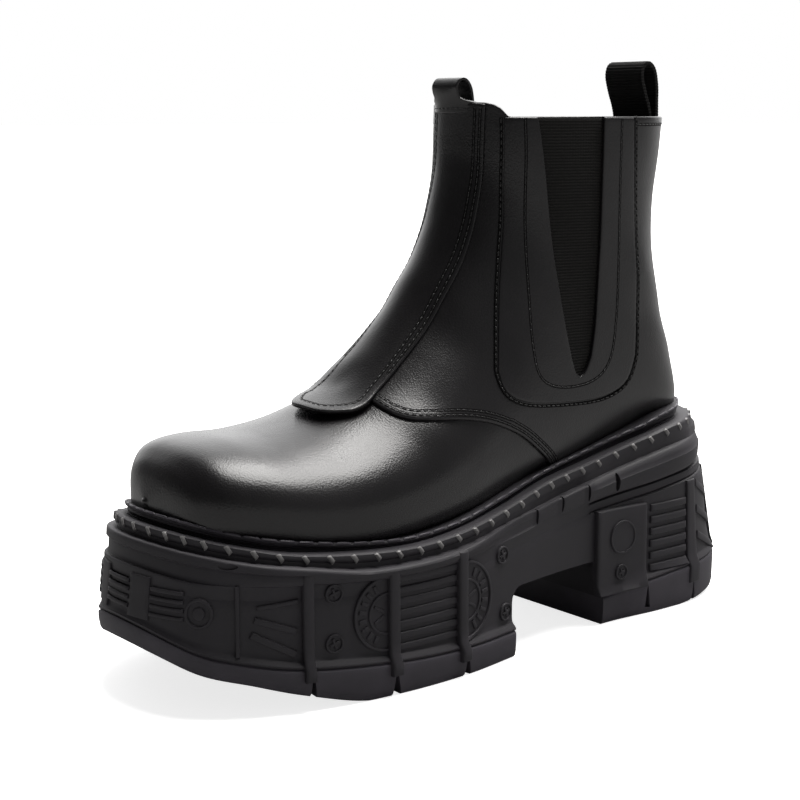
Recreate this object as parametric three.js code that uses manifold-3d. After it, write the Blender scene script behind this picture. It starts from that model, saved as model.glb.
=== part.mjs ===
// A left platform Chelsea boot: a hollow leather upper on a tall moulded sole.
// Millimetres, +Z up, toe towards -Y, outer (lateral) side towards +X, soles on z = 0.
import * as THREE from "three";
import { mergeVertices } from "three/addons/utils/BufferGeometryUtils.js";
import Module from "manifold-3d";

const wasm = await Module();
wasm.setup();

// ---- driving dimensions -------------------------------------------------
const GAP = 0.3; // clearance between neighbouring pieces
const LEATHER = 2.0; // wall of the upper
const ELASTIC = 1.3; // gore thickness
const GORE_RECESS = 0.35; // the elastic lies this far behind the leather
const OVERLAY = 1.4; // leather of the instep strip and the backstay
const WEBBING = 1.7; // back pull loop
const TAB_LEATHER = 1.6; // front pull loop
const INSOLE = 3.5;

const CENTRE_X = -1.5; // centre line of the shaft
const COLLAR_Z = 209.6; // top edge round the shaft
const COLLAR_FRONT_Z = 215.2; // the front of the collar stands higher
const WELT_INSET = 9; // welt edge, in from the sole's outline
const LEDGE_INSET = 4.5; // second tier, in from the sole's outline
const PANEL_INSET = 2.6; // moulded side panels, in from the sole's outline

const FOREFOOT_END_Y = 0; // back of the forefoot tread
const HEEL_FRONT_Y = 57; // foot of the heel breast
const ARCH_ROOF_Z = 27.5;
const TOE_DRAW_Y = -100; // the sole narrows upwards in front of here
const HEEL_DRAW_Y = 95; // and behind here

// Plan of the sole: distance along the boot, outer edge and inner edge.
const PLAN = [
  { y: -146, outer: -5.5, inner: -5.5 },
  { y: -139, outer: 26.5, inner: -31.5 },
  { y: -118, outer: 45, inner: -49.5 },
  { y: -90, outer: 53.3, inner: -56 },
  { y: -58, outer: 56.4, inner: -54.5 },
  { y: -27, outer: 54.8, inner: -48 },
  { y: 3, outer: 48.8, inner: -42.5 },
  { y: 33, outer: 42.8, inner: -39.5 },
  { y: 62, outer: 39.6, inner: -41.5 },
  { y: 93, outer: 40.4, inner: -44.5 },
  { y: 120, outer: 37.5, inner: -41.5 },
  { y: 140, outer: 24.5, inner: -27.5 },
  { y: 146, outer: -1.5, inner: -1.5 },
];

// Heights of the sole's lines along the boot, from the top down.
const LEVEL_KEYS = ["y", "welt", "ledge", "rollTop", "rollLow", "band", "ground"];
const LEVELS = [
  [-146, 70, 66.5, 63.5, 54.5, 32, 24],
  [-134, 69, 64.5, 61.5, 51, 24, 16],
  [-118, 64.5, 60.5, 57.5, 50, 19.5, 11.5],
  [-100, 61, 57, 53.5, 48, 16, 6],
  [-75, 57.5, 54.5, 50, 45, 13.5, 0],
  [-50, 56, 53.5, 49, 44, 13, 0],
  [-25, 58, 55.5, 50, 44, 12.5, 0],
  [0, 62.5, 59.5, 52.5, 44, 12.5, 0],
  [25, 68, 65, 56.5, 44, 13, 0],
  [55, 73.5, 69.5, 61.5, 46, 13.5, 0],
  [85, 80, 76, 68, 53, 16, 0],
  [105, 84.5, 79.5, 71, 56.5, 17, 0],
  [146, 88, 82.5, 74, 61, 19, 3],
].map((row) => Object.fromEntries(LEVEL_KEYS.map((key, i) => [key, row[i]])));

// Sections of the upper from the toe to the collar. Each lies in a plane that holds the X
// direction and runs from a bottom (heel side) point to a top (ridge) point. outer and inner
// are its widest edges, wide is how far up they lie, ridge is the top's sideways place, and
// the two exponents say how square the bottom and the top are.
const LAST_KEYS = ["by", "bz", "ty", "tz", "outer", "inner", "ridge", "wide", "low", "high"];
const LAST = [
  [-132.5, 66, -132.5, 77, 3, -14, -5.5, 0.5, 2.2, 2.2],
  [-131, 62, -131, 82, 14, -19, -5.5, 0.48, 2.6, 2.4],
  [-127.5, 59, -127.5, 87.5, 24.5, -26, -5.5, 0.45, 3, 2.5],
  [-120.5, 57, -120.5, 92, 33, -33, -5.5, 0.44, 3, 2.5],
  [-106, 53, -107, 93.5, 40.5, -40.5, -5.5, 0.44, 3, 2.4],
  [-86, 48.5, -88, 93.3, 45.5, -44.5, -5, 0.44, 3, 2.3],
  [-62, 46, -67, 97, 48, -44.5, -4.5, 0.44, 3, 2.1],
  [-36, 47, -48.5, 105.3, 46.5, -41, -4, 0.42, 3, 2],
  [-10, 50, -33, 118.6, 43, -37.5, -3, 0.4, 3, 1.9],
  [16, 55, -20.3, 132.5, 38, -34, -2, 0.4, 3, 1.9],
  [44, 61, -11, 145.5, 34.5, -33, -1.5, 0.42, 3, 2],
  [73, 66, -3.5, 156.5, 32.5, -33.5, -1.5, 0.45, 2.8, 2.1],
  [101, 72, 2, 167.5, 32, -34.5, -1.5, 0.48, 2.6, 2.2],
  [125.5, 78, 5.5, 178.5, 32, -35, -1.5, 0.5, 2.4, 2.3],
  [124, 100, 7.5, 186.5, 32, -35, -1.5, 0.5, 2.3, 2.3],
  [118, 122, 8.6, 193, 32, -35, -1.5, 0.5, 2.3, 2.3],
  [113.3, 145, 9.1, 200, 32, -35, -1.5, 0.5, 2.3, 2.3],
  [112.8, 170, 9.4, 207, 32, -35, -1.5, 0.5, 2.3, 2.3],
  [115.8, 195, 9.6, 214, 32, -35, -1.5, 0.5, 2.3, 2.3],
  [118.5, 225, 9.8, 228, 32, -35, -1.5, 0.5, 2.3, 2.3],
].map((row) => Object.fromEntries(LAST_KEYS.map((key, i) => [key, row[i]])));
const SECTION_STEPS = 36; // sections in the finished form
const ROUND_STEPS = 28; // points round a section
const PLAN_STEPS = 3; // points to each row of the plan

// Side openings for the elastic: rows from the tip up, front edge and back edge.
const GORE = [
  { z: 104.8, front: 47.8, back: 47.8 },
  { z: 106.8, front: 45.2, back: 50.8 },
  { z: 113, front: 43, back: 54 },
  { z: 128, front: 39.6, back: 56.4 },
  { z: 157, front: 35.2, back: 58.1 },
  { z: 189, front: 31, back: 58.8 },
  { z: 222, front: 27, back: 59.3 },
];

const STRIP_HALF = 15; // instep strip, half width at the collar
const TAB_HALF = 18.5; // and at its widest, above the rounded end
const TAB_WIDE_Y = -46;
const TAB_END_Y = -65.5;
const BACKSTAY_HALF = 9;
const BACKSTAY_TOP_Z = 205;
const FRONT_LOOP_WIDTH = 17;
const BACK_LOOP_WIDTH = 22;

// Draw of the sole's upper tiers, and of the welt, at the toe and at the heel.
const TIER_DRAW = { toe: 3, heel: 9 };
const WELT_DRAW = { toe: 2, heel: 10 };
const ROLL_DRAW = { toe: 4, heel: 8.2 };

// Notches between the tread's lugs: place along the boot, and height of their roof.
const NOTCH_DEPTH = 7; // in from the outline
const NOTCH_HALF = 2.8; // half width at the side
const GROOVE_HALF = 2.2; // half width across the tread
const GROOVE_RISE = 5;
const FOREFOOT_NOTCHES = [
  { y: -124, rise: 13.5 },
  { y: -100, rise: 6 },
  { y: -66.5, rise: 0 },
  { y: -33, rise: 0 },
];
const HEEL_NOTCHES = [
  { y: 80, rise: 0 },
  { y: 106, rise: 0 },
];

// Side outlines of the two pull loops, (y, z) from the inside of the shaft.
const FRONT_LOOP = [
  [14, 204],
  [14, 213],
  [13.5, 218.8],
  [11.2, 223.1],
  [8, 224.4],
  [5.7, 222.2],
  [5.7, 218.8],
  [7.2, 216.4],
];
const BACK_LOOP = [
  [109.6, 197],
  [110.3, 208],
  [109.7, 215],
  [108, 221],
  [106.9, 227],
  [108, 231],
  [110.8, 232],
  [114, 229],
  [115.9, 222.5],
  [116.1, 216],
  [115.8, 211.2],
];

// ---- small helpers -------------------------------------------------------
// A closed geometry as a solid: only positions are kept, and shared corners are merged.
function solid(geometry) {
  const bare = geometry.index ? geometry.toNonIndexed() : geometry.clone();
  bare.deleteAttribute("normal");
  bare.deleteAttribute("uv");
  const merged = mergeVertices(bare, 1e-4);
  return new wasm.Manifold(
    new wasm.Mesh({
      numProp: 3,
      vertProperties: merged.attributes.position.array,
      triVerts: new Uint32Array(merged.index.array),
    }),
  );
}

function geometryOf(body) {
  const { vertProperties, triVerts } = body.getMesh();
  const geometry = new THREE.BufferGeometry();
  geometry.setAttribute("position", new THREE.BufferAttribute(vertProperties, 3));
  geometry.setIndex(new THREE.BufferAttribute(triVerts, 1));
  geometry.computeVertexNormals();
  return geometry;
}

// Points and triangles given as plain lists.
function solidFrom(points, faces) {
  const geometry = new THREE.BufferGeometry().setFromPoints(points);
  geometry.setIndex(faces.flat());
  return solid(geometry);
}

function catmull(a, b, c, d, t) {
  const bend = 2 * a - 5 * b + 4 * c - d + (3 * b - a - 3 * c + d) * t;
  return b + 0.5 * t * (c - a + t * bend);
}

// A smooth row between the rows of a table, at a place from 0 to 1 along it.
function rowAt(table, place) {
  const last = table.length - 1;
  const i = Math.min(Math.floor(place * last), last - 1);
  const t = place * last - i;
  const rows = [i - 1, i, i + 1, i + 2].map((n) => table[Math.min(Math.max(n, 0), last)]);
  const mixed = (key) => catmull(...rows.map((row) => row[key]), t);
  return Object.fromEntries(Object.keys(table[0]).map((key) => [key, mixed(key)]));
}

// A height line of the sole as a function of y.
function level(key, lift = 0) {
  const curve = new THREE.SplineCurve(LEVELS.map((row) => new THREE.Vector2(row.y, row[key])));
  const points = curve.getPoints(LEVELS.length * 6);
  return (y) => {
    const inside = THREE.MathUtils.clamp(y, points[0].x, points.at(-1).x);
    const i = Math.max(1, points.findIndex((p) => p.x >= inside));
    const [a, b] = [points[i - 1], points[i]];
    return Math.max(0, a.y + ((inside - a.x) / (b.x - a.x)) * (b.y - a.y)) + lift;
  };
}
const flat = (z) => () => z;

// A side outline, (y, z) pairs, as a prism along X.
const SIDE_TO_WORLD = new THREE.Matrix4().makeBasis(
  new THREE.Vector3(0, 1, 0),
  new THREE.Vector3(0, 0, 1),
  new THREE.Vector3(1, 0, 0),
);
function sidePrism(pairs, fromX, toX) {
  const shape = new THREE.Shape(pairs.map(([y, z]) => new THREE.Vector2(y, z)));
  const settings = { depth: toX - fromX, bevelEnabled: false };
  const prism = new THREE.ExtrudeGeometry(shape, settings);
  return solid(prism.translate(0, 0, fromX).applyMatrix4(SIDE_TO_WORLD));
}

function box(x0, x1, y0, y1, z0, z1) {
  const block = new THREE.BoxGeometry(x1 - x0, y1 - y0, z1 - z0);
  return solid(block.translate((x0 + x1) / 2, (y0 + y1) / 2, (z0 + z1) / 2));
}

// ---- the sole's form -----------------------------------------------------
const outerEdge = PLAN.map((row) => new THREE.Vector3(row.outer, row.y, 0));
const innerEdge = PLAN.slice(1, -1).map((row) => new THREE.Vector3(row.inner, row.y, 0));
const planPoints = [...outerEdge, ...innerEdge.reverse()];
const planCurve = new THREE.CatmullRomCurve3(planPoints, true, "catmullrom");
const PLAN_COUNT = (PLAN.length - 1) * 2 * PLAN_STEPS;

// A point of the outline moved in by inset, and by toe or heel more towards the two ends.
function planPoint(k, { inset, toe = 0, heel = 0 }) {
  const along = k / PLAN_COUNT;
  const point = planCurve.getPoint(along);
  const run = planCurve.getTangent(along);
  const toToe = 1 - THREE.MathUtils.smoothstep(point.y, PLAN[0].y, TOE_DRAW_Y);
  const toHeel = THREE.MathUtils.smoothstep(point.y, HEEL_DRAW_Y, PLAN.at(-1).y);
  const move = inset + toe * toToe + heel * toHeel;
  return new THREE.Vector2(point.x - run.y * move, point.y + run.x * move);
}

// A solid through rings, from the bottom up. Each ring is the sole's outline moved in by
// inset, at a height that varies along the boot.
function soleForm(rings) {
  const points = rings.flatMap((ring) =>
    Array.from({ length: PLAN_COUNT }, (_, k) => {
      const { x, y } = planPoint(k, ring);
      return new THREE.Vector3(x, y, ring.height(y));
    }),
  );
  const faces = [];
  const id = (ring, k) => ring * PLAN_COUNT + ((k + PLAN_COUNT) % PLAN_COUNT);
  for (let ring = 0; ring < rings.length - 1; ring++)
    for (let k = 0; k < PLAN_COUNT; k++) {
      faces.push([id(ring, k), id(ring, k + 1), id(ring + 1, k + 1)]);
      faces.push([id(ring, k), id(ring + 1, k + 1), id(ring + 1, k)]);
    }
  const top = rings.length - 1;
  for (let k = 0; k < PLAN_COUNT / 2; k++) {
    faces.push([id(top, k), id(top, k + 1), id(top, -k - 1)]);
    if (k > 0) faces.push([id(top, k), id(top, -k - 1), id(top, -k)]);
    faces.push([id(0, k), id(0, -k - 1), id(0, k + 1)]);
    if (k > 0) faces.push([id(0, k), id(0, -k), id(0, -k - 1)]);
  }
  return solidFrom(points, faces.filter(([a, b, c]) => a !== b && b !== c && a !== c));
}

// ---- the last's form -----------------------------------------------------
function lastPoint(place, turn) {
  const row = rowAt(LAST, place);
  const sine = Math.sin(turn);
  const cosine = Math.cos(turn);
  const power = 2 / (sine < 0 ? row.low : row.high);
  const reach = Math.sign(sine) * Math.abs(sine) ** power;
  const up = row.wide + reach * (sine < 0 ? row.wide : 1 - row.wide);
  const half = (row.outer - row.inner) / 2;
  const middle = (row.outer + row.inner) / 2;
  const lean = Math.max(0, reach) ** 2 * (row.ridge - middle);
  return new THREE.Vector3(
    middle + lean + half * Math.sign(cosine) * Math.abs(cosine) ** power,
    row.by + up * (row.ty - row.by),
    row.bz + up * (row.tz - row.bz),
  );
}

// The outside of the upper, moved out by offset (in, where it is negative).
function lastForm(offset) {
  const rings = [];
  for (let s = 0; s <= SECTION_STEPS; s++)
    rings.push(
      Array.from({ length: ROUND_STEPS }, (_, k) =>
        lastPoint(s / SECTION_STEPS, ((k + 0.5) / ROUND_STEPS) * 2 * Math.PI),
      ),
    );
  const moved = rings.map((ring, s) =>
    ring.map((point, k) => {
      const before = rings[Math.max(s - 1, 0)][k];
      const after = rings[Math.min(s + 1, SECTION_STEPS)][k];
      const left = ring[(k + ROUND_STEPS - 1) % ROUND_STEPS];
      const right = ring[(k + 1) % ROUND_STEPS];
      const along = after.clone().sub(before);
      const round = right.clone().sub(left);
      return point.clone().addScaledVector(along.cross(round).normalize(), offset);
    }),
  );
  const sumOf = (ring) => ring.reduce((sum, p) => sum.add(p), new THREE.Vector3());
  const centre = (ring) => sumOf(ring).divideScalar(ring.length);
  const toe = centre(moved[0]).add(new THREE.Vector3(0, -0.6 - offset, 0));
  const points = [...moved.flat(), toe, centre(moved.at(-1))];
  const id = (s, k) => s * ROUND_STEPS + (k % ROUND_STEPS);
  const faces = [];
  for (let s = 0; s < SECTION_STEPS; s++)
    for (let k = 0; k < ROUND_STEPS; k++) {
      faces.push([id(s, k), id(s + 1, k + 1), id(s, k + 1)]);
      faces.push([id(s, k), id(s + 1, k), id(s + 1, k + 1)]);
    }
  for (let k = 0; k < ROUND_STEPS; k++) {
    faces.push([points.length - 2, id(0, k), id(0, k + 1)]);
    faces.push([points.length - 1, id(SECTION_STEPS, k + 1), id(SECTION_STEPS, k)]);
  }
  return solidFrom(points, faces);
}

// ---- pieces --------------------------------------------------------------
const WIDE = 120; // more than any half width
const BEYOND = -20; // inset of a cutter that reaches past the outline

// Everything below a height line, to cut with.
const belowLine = (key) =>
  soleForm([
    { inset: BEYOND, height: flat(0) },
    { inset: BEYOND, height: level(key, GAP) },
  ]);

const outside = lastForm(0);
const inside = lastForm(-LEATHER);
const aroundUpper = lastForm(GAP);

const aboveCollar = sidePrism(
  [
    [-30, COLLAR_FRONT_Z],
    [11.5, COLLAR_FRONT_Z],
    [15.5, COLLAR_FRONT_Z - 1.6],
    [18, COLLAR_Z],
    [150, COLLAR_Z],
    [150, 260],
    [-30, 260],
  ],
  -WIDE,
  WIDE,
);

// The V of the gore in side view, moved in by inset.
function goreOutline(inset) {
  const front = GORE.map((row) => [row.front + (row.z > GORE[0].z ? inset : 0), row.z + inset]);
  const back = GORE.slice(1).map((row) => [row.back - inset, row.z + inset]);
  return [...back, ...front.reverse()];
}

function makeUpper() {
  return outside
    .subtract(inside)
    .subtract(belowLine("ledge"))
    .subtract(aboveCollar)
    .subtract(sidePrism(goreOutline(0), -WIDE, WIDE));
}

function makeGore(side) {
  const sheet = lastForm(-GORE_RECESS).subtract(lastForm(-GORE_RECESS - ELASTIC));
  const [from, to] = side > 0 ? [8, WIDE] : [-WIDE, -8];
  return sheet.intersect(sidePrism(goreOutline(GAP), from, to)).subtract(aboveCollar);
}

function makeStrip() {
  const layer = lastForm(GAP + OVERLAY).subtract(aroundUpper);
  const plan = new THREE.Shape();
  plan.moveTo(-STRIP_HALF, 20);
  plan.lineTo(-STRIP_HALF, -10);
  plan.lineTo(-TAB_HALF, TAB_WIDE_Y);
  plan.bezierCurveTo(-TAB_HALF, TAB_END_Y + 7, -TAB_HALF + 7, TAB_END_Y, 0, TAB_END_Y);
  plan.bezierCurveTo(TAB_HALF - 7, TAB_END_Y, TAB_HALF, TAB_END_Y + 7, TAB_HALF, TAB_WIDE_Y);
  plan.lineTo(STRIP_HALF, -10);
  plan.lineTo(STRIP_HALF, 20);
  const settings = { depth: 160, bevelEnabled: false, curveSegments: 6 };
  const prism = new THREE.ExtrudeGeometry(plan, settings).translate(CENTRE_X, 0, 80);
  return layer.intersect(solid(prism)).subtract(aboveCollar);
}

function makeBackstay() {
  const layer = lastForm(GAP + OVERLAY).subtract(aroundUpper);
  const [from, to] = [CENTRE_X - BACKSTAY_HALF, CENTRE_X + BACKSTAY_HALF];
  const region = box(from, to, 70, 160, 60, BACKSTAY_TOP_Z);
  return layer.intersect(region).subtract(belowLine("welt"));
}

// A band bent along a side outline, as wide as width along X.
function ribbon(pairs, thickness, width) {
  const curve = new THREE.SplineCurve(pairs.map(([y, z]) => new THREE.Vector2(y, z)));
  const steps = pairs.length * 3;
  const edge = (side) =>
    Array.from({ length: steps + 1 }, (_, k) => {
      const point = curve.getPoint(k / steps);
      const run = curve.getTangent(k / steps);
      return [point.x - side * run.y * thickness * 0.5, point.y + side * run.x * thickness * 0.5];
    });
  const outline = [...edge(-1), ...edge(1).reverse()];
  return sidePrism(outline, CENTRE_X - width / 2, CENTRE_X + width / 2);
}

function makeInsole() {
  const slab = soleForm([
    { inset: -5, height: level("ledge", GAP) },
    { inset: -5, height: level("ledge", GAP + INSOLE) },
  ]);
  return lastForm(-LEATHER - GAP).intersect(slab);
}

function makeWelt() {
  return soleForm([
    { inset: WELT_INSET + 1.2, ...WELT_DRAW, height: level("ledge", GAP) },
    { inset: WELT_INSET + 0.4, ...WELT_DRAW, height: level("ledge", GAP + 1) },
    { inset: WELT_INSET, ...WELT_DRAW, height: level("welt", -0.8) },
    { inset: WELT_INSET + 0.8, ...WELT_DRAW, height: level("welt") },
  ]).subtract(aroundUpper);
}

const arch = sidePrism(
  [
    [FOREFOOT_END_Y, -5],
    [FOREFOOT_END_Y + 1.5, ARCH_ROOF_Z - 3],
    [FOREFOOT_END_Y + 5, ARCH_ROOF_Z],
    [HEEL_FRONT_Y - 8, ARCH_ROOF_Z + 0.5],
    [HEEL_FRONT_Y - 3, ARCH_ROOF_Z - 3],
    [HEEL_FRONT_Y, -5],
  ],
  -WIDE,
  WIDE,
);

function makeMidsole() {
  return soleForm([
    { inset: PANEL_INSET, toe: -1.5, heel: -1, height: level("band") },
    { inset: PANEL_INSET, toe: 0, heel: 4, height: level("rollLow", -1.5) },
    { inset: 1, toe: 3.5, heel: 7, height: level("rollLow", 1) },
    { inset: 0.2, ...ROLL_DRAW, height: level("rollLow", 3.2) },
    { inset: 0.2, ...ROLL_DRAW, height: level("rollTop", -2.4) },
    { inset: 1.4, ...ROLL_DRAW, height: level("rollTop", -0.5) },
    { inset: LEDGE_INSET, ...TIER_DRAW, height: level("rollTop") },
    { inset: LEDGE_INSET, ...TIER_DRAW, height: level("ledge", -0.8) },
    { inset: LEDGE_INSET + 0.8, ...TIER_DRAW, height: level("ledge") },
  ]).subtract(arch);
}

// Tread under the forefoot or the heel, notched between its lugs.
function makeTread(fromY, toY, notches) {
  let tread = soleForm([
    { inset: 2.2, height: level("ground") },
    { inset: 0.6, height: level("ground", 2) },
    { inset: 0, height: level("band", -3.5) },
    { inset: PANEL_INSET - 0.4, height: level("band", -GAP) },
  ]).intersect(box(-WIDE, WIDE, fromY, toY, -5, 60));
  for (const { y, rise } of notches) {
    const groove = box(-WIDE, WIDE, y - GROOVE_HALF, y + GROOVE_HALF, -5, rise + GROOVE_RISE);
    tread = tread.subtract(groove);
    for (const side of [-1, 1]) {
      const edge = notchEdge(y, side);
      const [from, to] = [Math.min(edge, edge + side * 60), Math.max(edge, edge + side * 60)];
      tread = tread.subtract(box(from, to, y - NOTCH_HALF, y + NOTCH_HALF, -5, 60));
    }
  }
  return tread;
}

// Where a side notch of the tread ends, in from the outline at that y.
function notchEdge(y, side) {
  const i = PLAN.findIndex((row) => row.y > y);
  const [a, b] = [PLAN[i - 1], PLAN[i]];
  const key = side > 0 ? "outer" : "inner";
  const share = (y - a.y) / (b.y - a.y);
  return a[key] + share * (b[key] - a[key]) - side * NOTCH_DEPTH;
}

// ---- assembly ------------------------------------------------------------
const boot = new THREE.Group();

function add(name, body, color, roughness) {
  const material = new THREE.MeshStandardMaterial({ color, roughness, metalness: 0 });
  const mesh = new THREE.Mesh(geometryOf(body), material);
  mesh.name = name;
  boot.add(mesh);
}

const LEATHER_BLACK = 0x1a1818;
const RUBBER_BLACK = 0x242225;
const ELASTIC_BLACK = 0x0c0c0a;
const frontLoop = ribbon(FRONT_LOOP, TAB_LEATHER, FRONT_LOOP_WIDTH);
const backLoop = ribbon(BACK_LOOP, WEBBING, BACK_LOOP_WIDTH);
const forefootTread = makeTread(-160, FOREFOOT_END_Y, FOREFOOT_NOTCHES);
const heelTread = makeTread(HEEL_FRONT_Y, 160, HEEL_NOTCHES);

add("upper", makeUpper(), LEATHER_BLACK, 0.38);
add("gore_lateral", makeGore(1), ELASTIC_BLACK, 0.9);
add("gore_medial", makeGore(-1), ELASTIC_BLACK, 0.9);
add("front_strip", makeStrip(), LEATHER_BLACK, 0.35);
add("backstay", makeBackstay(), LEATHER_BLACK, 0.4);
add("front_loop", frontLoop, LEATHER_BLACK, 0.4);
add("back_loop", backLoop, 0x121212, 0.85);
add("insole", makeInsole(), 0x161515, 0.8);
add("welt", makeWelt(), RUBBER_BLACK, 0.6);
add("midsole", makeMidsole(), RUBBER_BLACK, 0.6);
add("forefoot_outsole", forefootTread, RUBBER_BLACK, 0.65);
add("heel_outsole", heelTread, RUBBER_BLACK, 0.65);

export default boot;
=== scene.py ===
import math

import bmesh
import bpy
import numpy as np
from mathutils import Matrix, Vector


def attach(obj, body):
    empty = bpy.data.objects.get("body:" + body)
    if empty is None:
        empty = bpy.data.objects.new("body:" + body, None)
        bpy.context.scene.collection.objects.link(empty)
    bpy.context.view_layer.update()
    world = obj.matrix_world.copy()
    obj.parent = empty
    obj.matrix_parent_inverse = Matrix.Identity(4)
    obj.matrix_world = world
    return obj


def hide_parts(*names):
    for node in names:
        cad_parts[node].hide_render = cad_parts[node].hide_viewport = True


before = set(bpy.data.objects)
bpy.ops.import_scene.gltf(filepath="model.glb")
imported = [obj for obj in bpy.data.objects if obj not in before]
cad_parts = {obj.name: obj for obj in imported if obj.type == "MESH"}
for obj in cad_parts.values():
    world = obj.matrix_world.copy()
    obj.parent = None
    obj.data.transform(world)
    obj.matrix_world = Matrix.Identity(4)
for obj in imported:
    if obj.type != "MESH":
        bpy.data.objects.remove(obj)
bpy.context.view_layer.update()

MM = 0.001

# ---- camera -------------------------------------------------------------------------
bpy.ops.object.select_all(action="DESELECT")
bpy.ops.object.camera_add(
    location=(0.5233, -0.4257, 0.210),
    rotation=(math.radians(80.394), 0, math.radians(52.168)),
)
camera = bpy.context.object
camera.data.lens = 75.78
camera.data.sensor_width = 36
camera.data.clip_start = 0.01
bpy.context.scene.camera = camera

# ---- driving sizes, close to those of the solids ------------------------------------
CENTRE_X = -1.5  # centre line of the shaft
COLLAR_Z = 209.6
COLLAR_FRONT_Z = 215.2
FOREFOOT_END_Y = 0
HEEL_FRONT_Y = 57
ARCH_ROOF_Z = 27.5
BACKSTAY_HALF = 9

# ---- the studio: brightness of the light from each side ------------------------------
OVERHEAD = 5.0
AMBIENT = 0.07
BACK_WALL = 1.95
SIDE_WALL = 0.16
FLOOR_BOUNCE = 0.3  # the floor's whiteness as the boot sees it
FLOOR_LIFT = 0.78

# The sole's outline from the toe tip down the outer side and back up the inner side.
PLAN = np.array([
    (-5.5, -146), (26.5, -139), (45, -118), (53.3, -90), (56.4, -58), (54.8, -27),
    (48.8, 3), (42.8, 33), (39.6, 62), (40.4, 93), (37.5, 120), (24.5, 140), (-1.5, 146),
    (-27.5, 140), (-41.5, 120), (-44.5, 93), (-41.5, 62), (-39.5, 33), (-42.5, 3),
    (-48, -27), (-54.5, -58), (-56, -90), (-49.5, -118), (-31.5, -139),
], float)

# Heights of the sole's lines along the boot.
LEVEL_KEYS = ("welt", "ledge", "roll_top", "roll_low", "band", "ground")
LEVELS = np.array([
    (-146, 70, 66.5, 61.5, 52, 31.4, 24), (-134, 69, 64.5, 59, 48.8, 23.4, 16),
    (-118, 64.5, 60.5, 55.6, 47.4, 19, 11.5), (-100, 61, 57, 52.8, 46.4, 15.8, 6),
    (-75, 57.5, 54.5, 48.8, 44.6, 13.5, 0), (-50, 56, 53.5, 48.3, 44.2, 11.8, 0),
    (-25, 58, 55.5, 49.8, 45.4, 10.9, 0), (0, 62.5, 59.5, 53.6, 47.8, 10.8, 0),
    (25, 68, 65, 57.2, 51.0, 11, 0), (55, 73.5, 69.5, 62, 53.5, 11.6, 0),
    (85, 80, 76, 68.2, 56.8, 14.8, 0), (105, 84.5, 79.5, 71.2, 59.2, 16.6, 0),
    (146, 88, 82.5, 74, 62.4, 19, 3),
], float)

# Sections of the last from the toe to the collar: bottom y z, top y z, outer and inner
# edge, sideways place of the ridge, height share of the widest line, and squareness of
# the lower and the upper half.
LAST = np.array([
    (-133.2, 70, -133.2, 73, -3.5, -7.5, -5.5, 0.5, 2.2, 2.2),
    (-131, 62, -131, 82, 14, -19, -5.5, 0.48, 2.6, 2.4),
    (-127.5, 59, -127.5, 87.5, 24.5, -26, -5.5, 0.45, 3, 2.5),
    (-120.5, 57, -120.5, 92, 33, -33, -5.5, 0.44, 3, 2.5),
    (-106, 53, -107, 93.5, 40.5, -40.5, -5.5, 0.44, 3, 2.4),
    (-86, 48.5, -88, 93.3, 45.5, -44.5, -5, 0.44, 3, 2.3),
    (-62, 46, -67, 97, 48, -44.5, -4.5, 0.44, 3, 2.1),
    (-36, 47, -48.5, 105.3, 46.5, -41, -4, 0.42, 3, 2),
    (-10, 50, -33, 118.6, 43, -37.5, -3, 0.4, 3, 1.9),
    (16, 55, -20.3, 132.5, 38, -34, -2, 0.4, 3, 1.9),
    (44, 61, -11, 145.5, 34.5, -33, -1.5, 0.42, 3, 2),
    (73, 66, -3.5, 156.5, 32.5, -33.5, -1.5, 0.45, 2.8, 2.1),
    (101, 72, 2, 167.5, 32, -34.5, -1.5, 0.48, 2.6, 2.2),
    (125.5, 78, 5.5, 178.5, 32, -35, -1.5, 0.5, 2.4, 2.3),
    (123, 100, 7.5, 186.5, 32, -35, -1.5, 0.5, 2.3, 2.3),
    (115.6, 122, 8.6, 193, 32, -35, -1.5, 0.5, 2.3, 2.3),
    (109.4, 145, 9.1, 200, 32, -35, -1.5, 0.5, 2.3, 2.3),
    (108.5, 170, 9.4, 207, 32, -35, -1.5, 0.5, 2.3, 2.3),
    (112.3, 195, 9.6, 214, 32, -35, -1.5, 0.5, 2.3, 2.3),
    (115.4, 225, 9.8, 228, 32, -35, -1.5, 0.5, 2.3, 2.3),
], float)

# The V of the elastic and the U of its leather surround, seen from the side: y and z
# down the front edge, round the bottom and up the back edge.
GORE_FRONT = np.array([(27.6, 216), (31, 189), (35.2, 157), (39.6, 128), (43, 113)], float)
GORE_TIP = np.array([(43, 113), (45.2, 107.2), (47.8, 105), (51, 107.2), (54, 113)], float)
GORE_BACK = np.array([(54, 113), (56.4, 128), (58.1, 157), (58.8, 189), (59.2, 216)], float)
SURROUND_FRONT = np.array(
    [(17.6, 216), (17.1, 177), (13.7, 153.5), (7.3, 126.7), (3.4, 111)], float
)
SURROUND_FOOT = np.array(
    [(3.4, 111), (6, 103), (16.3, 98), (36.9, 95.6), (61.3, 95.3), (75.6, 100.2), (80, 111)],
    float,
)
SURROUND_BACK = np.array([(80, 111), (79.9, 142.3), (78.5, 175.4), (76, 216)], float)
INNER_ROW = np.array([
    (24, 208.5), (24.2, 176.8), (23.1, 141.5), (22.4, 117.9), (25.4, 106.5), (37.1, 101.7),
    (54.6, 102.6), (64.4, 110), (67.6, 126.6), (68.4, 155.4), (68.7, 208.5),
], float)

# How far the leather layers stand off the last.
VAMP_LIFT = -0.6
QUARTER_LIFT = 0.8
SURROUND_LIFT = 1.25
STRIP_LIFT = 2.05
BACKSTAY_LIFT = 1.6

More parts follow.
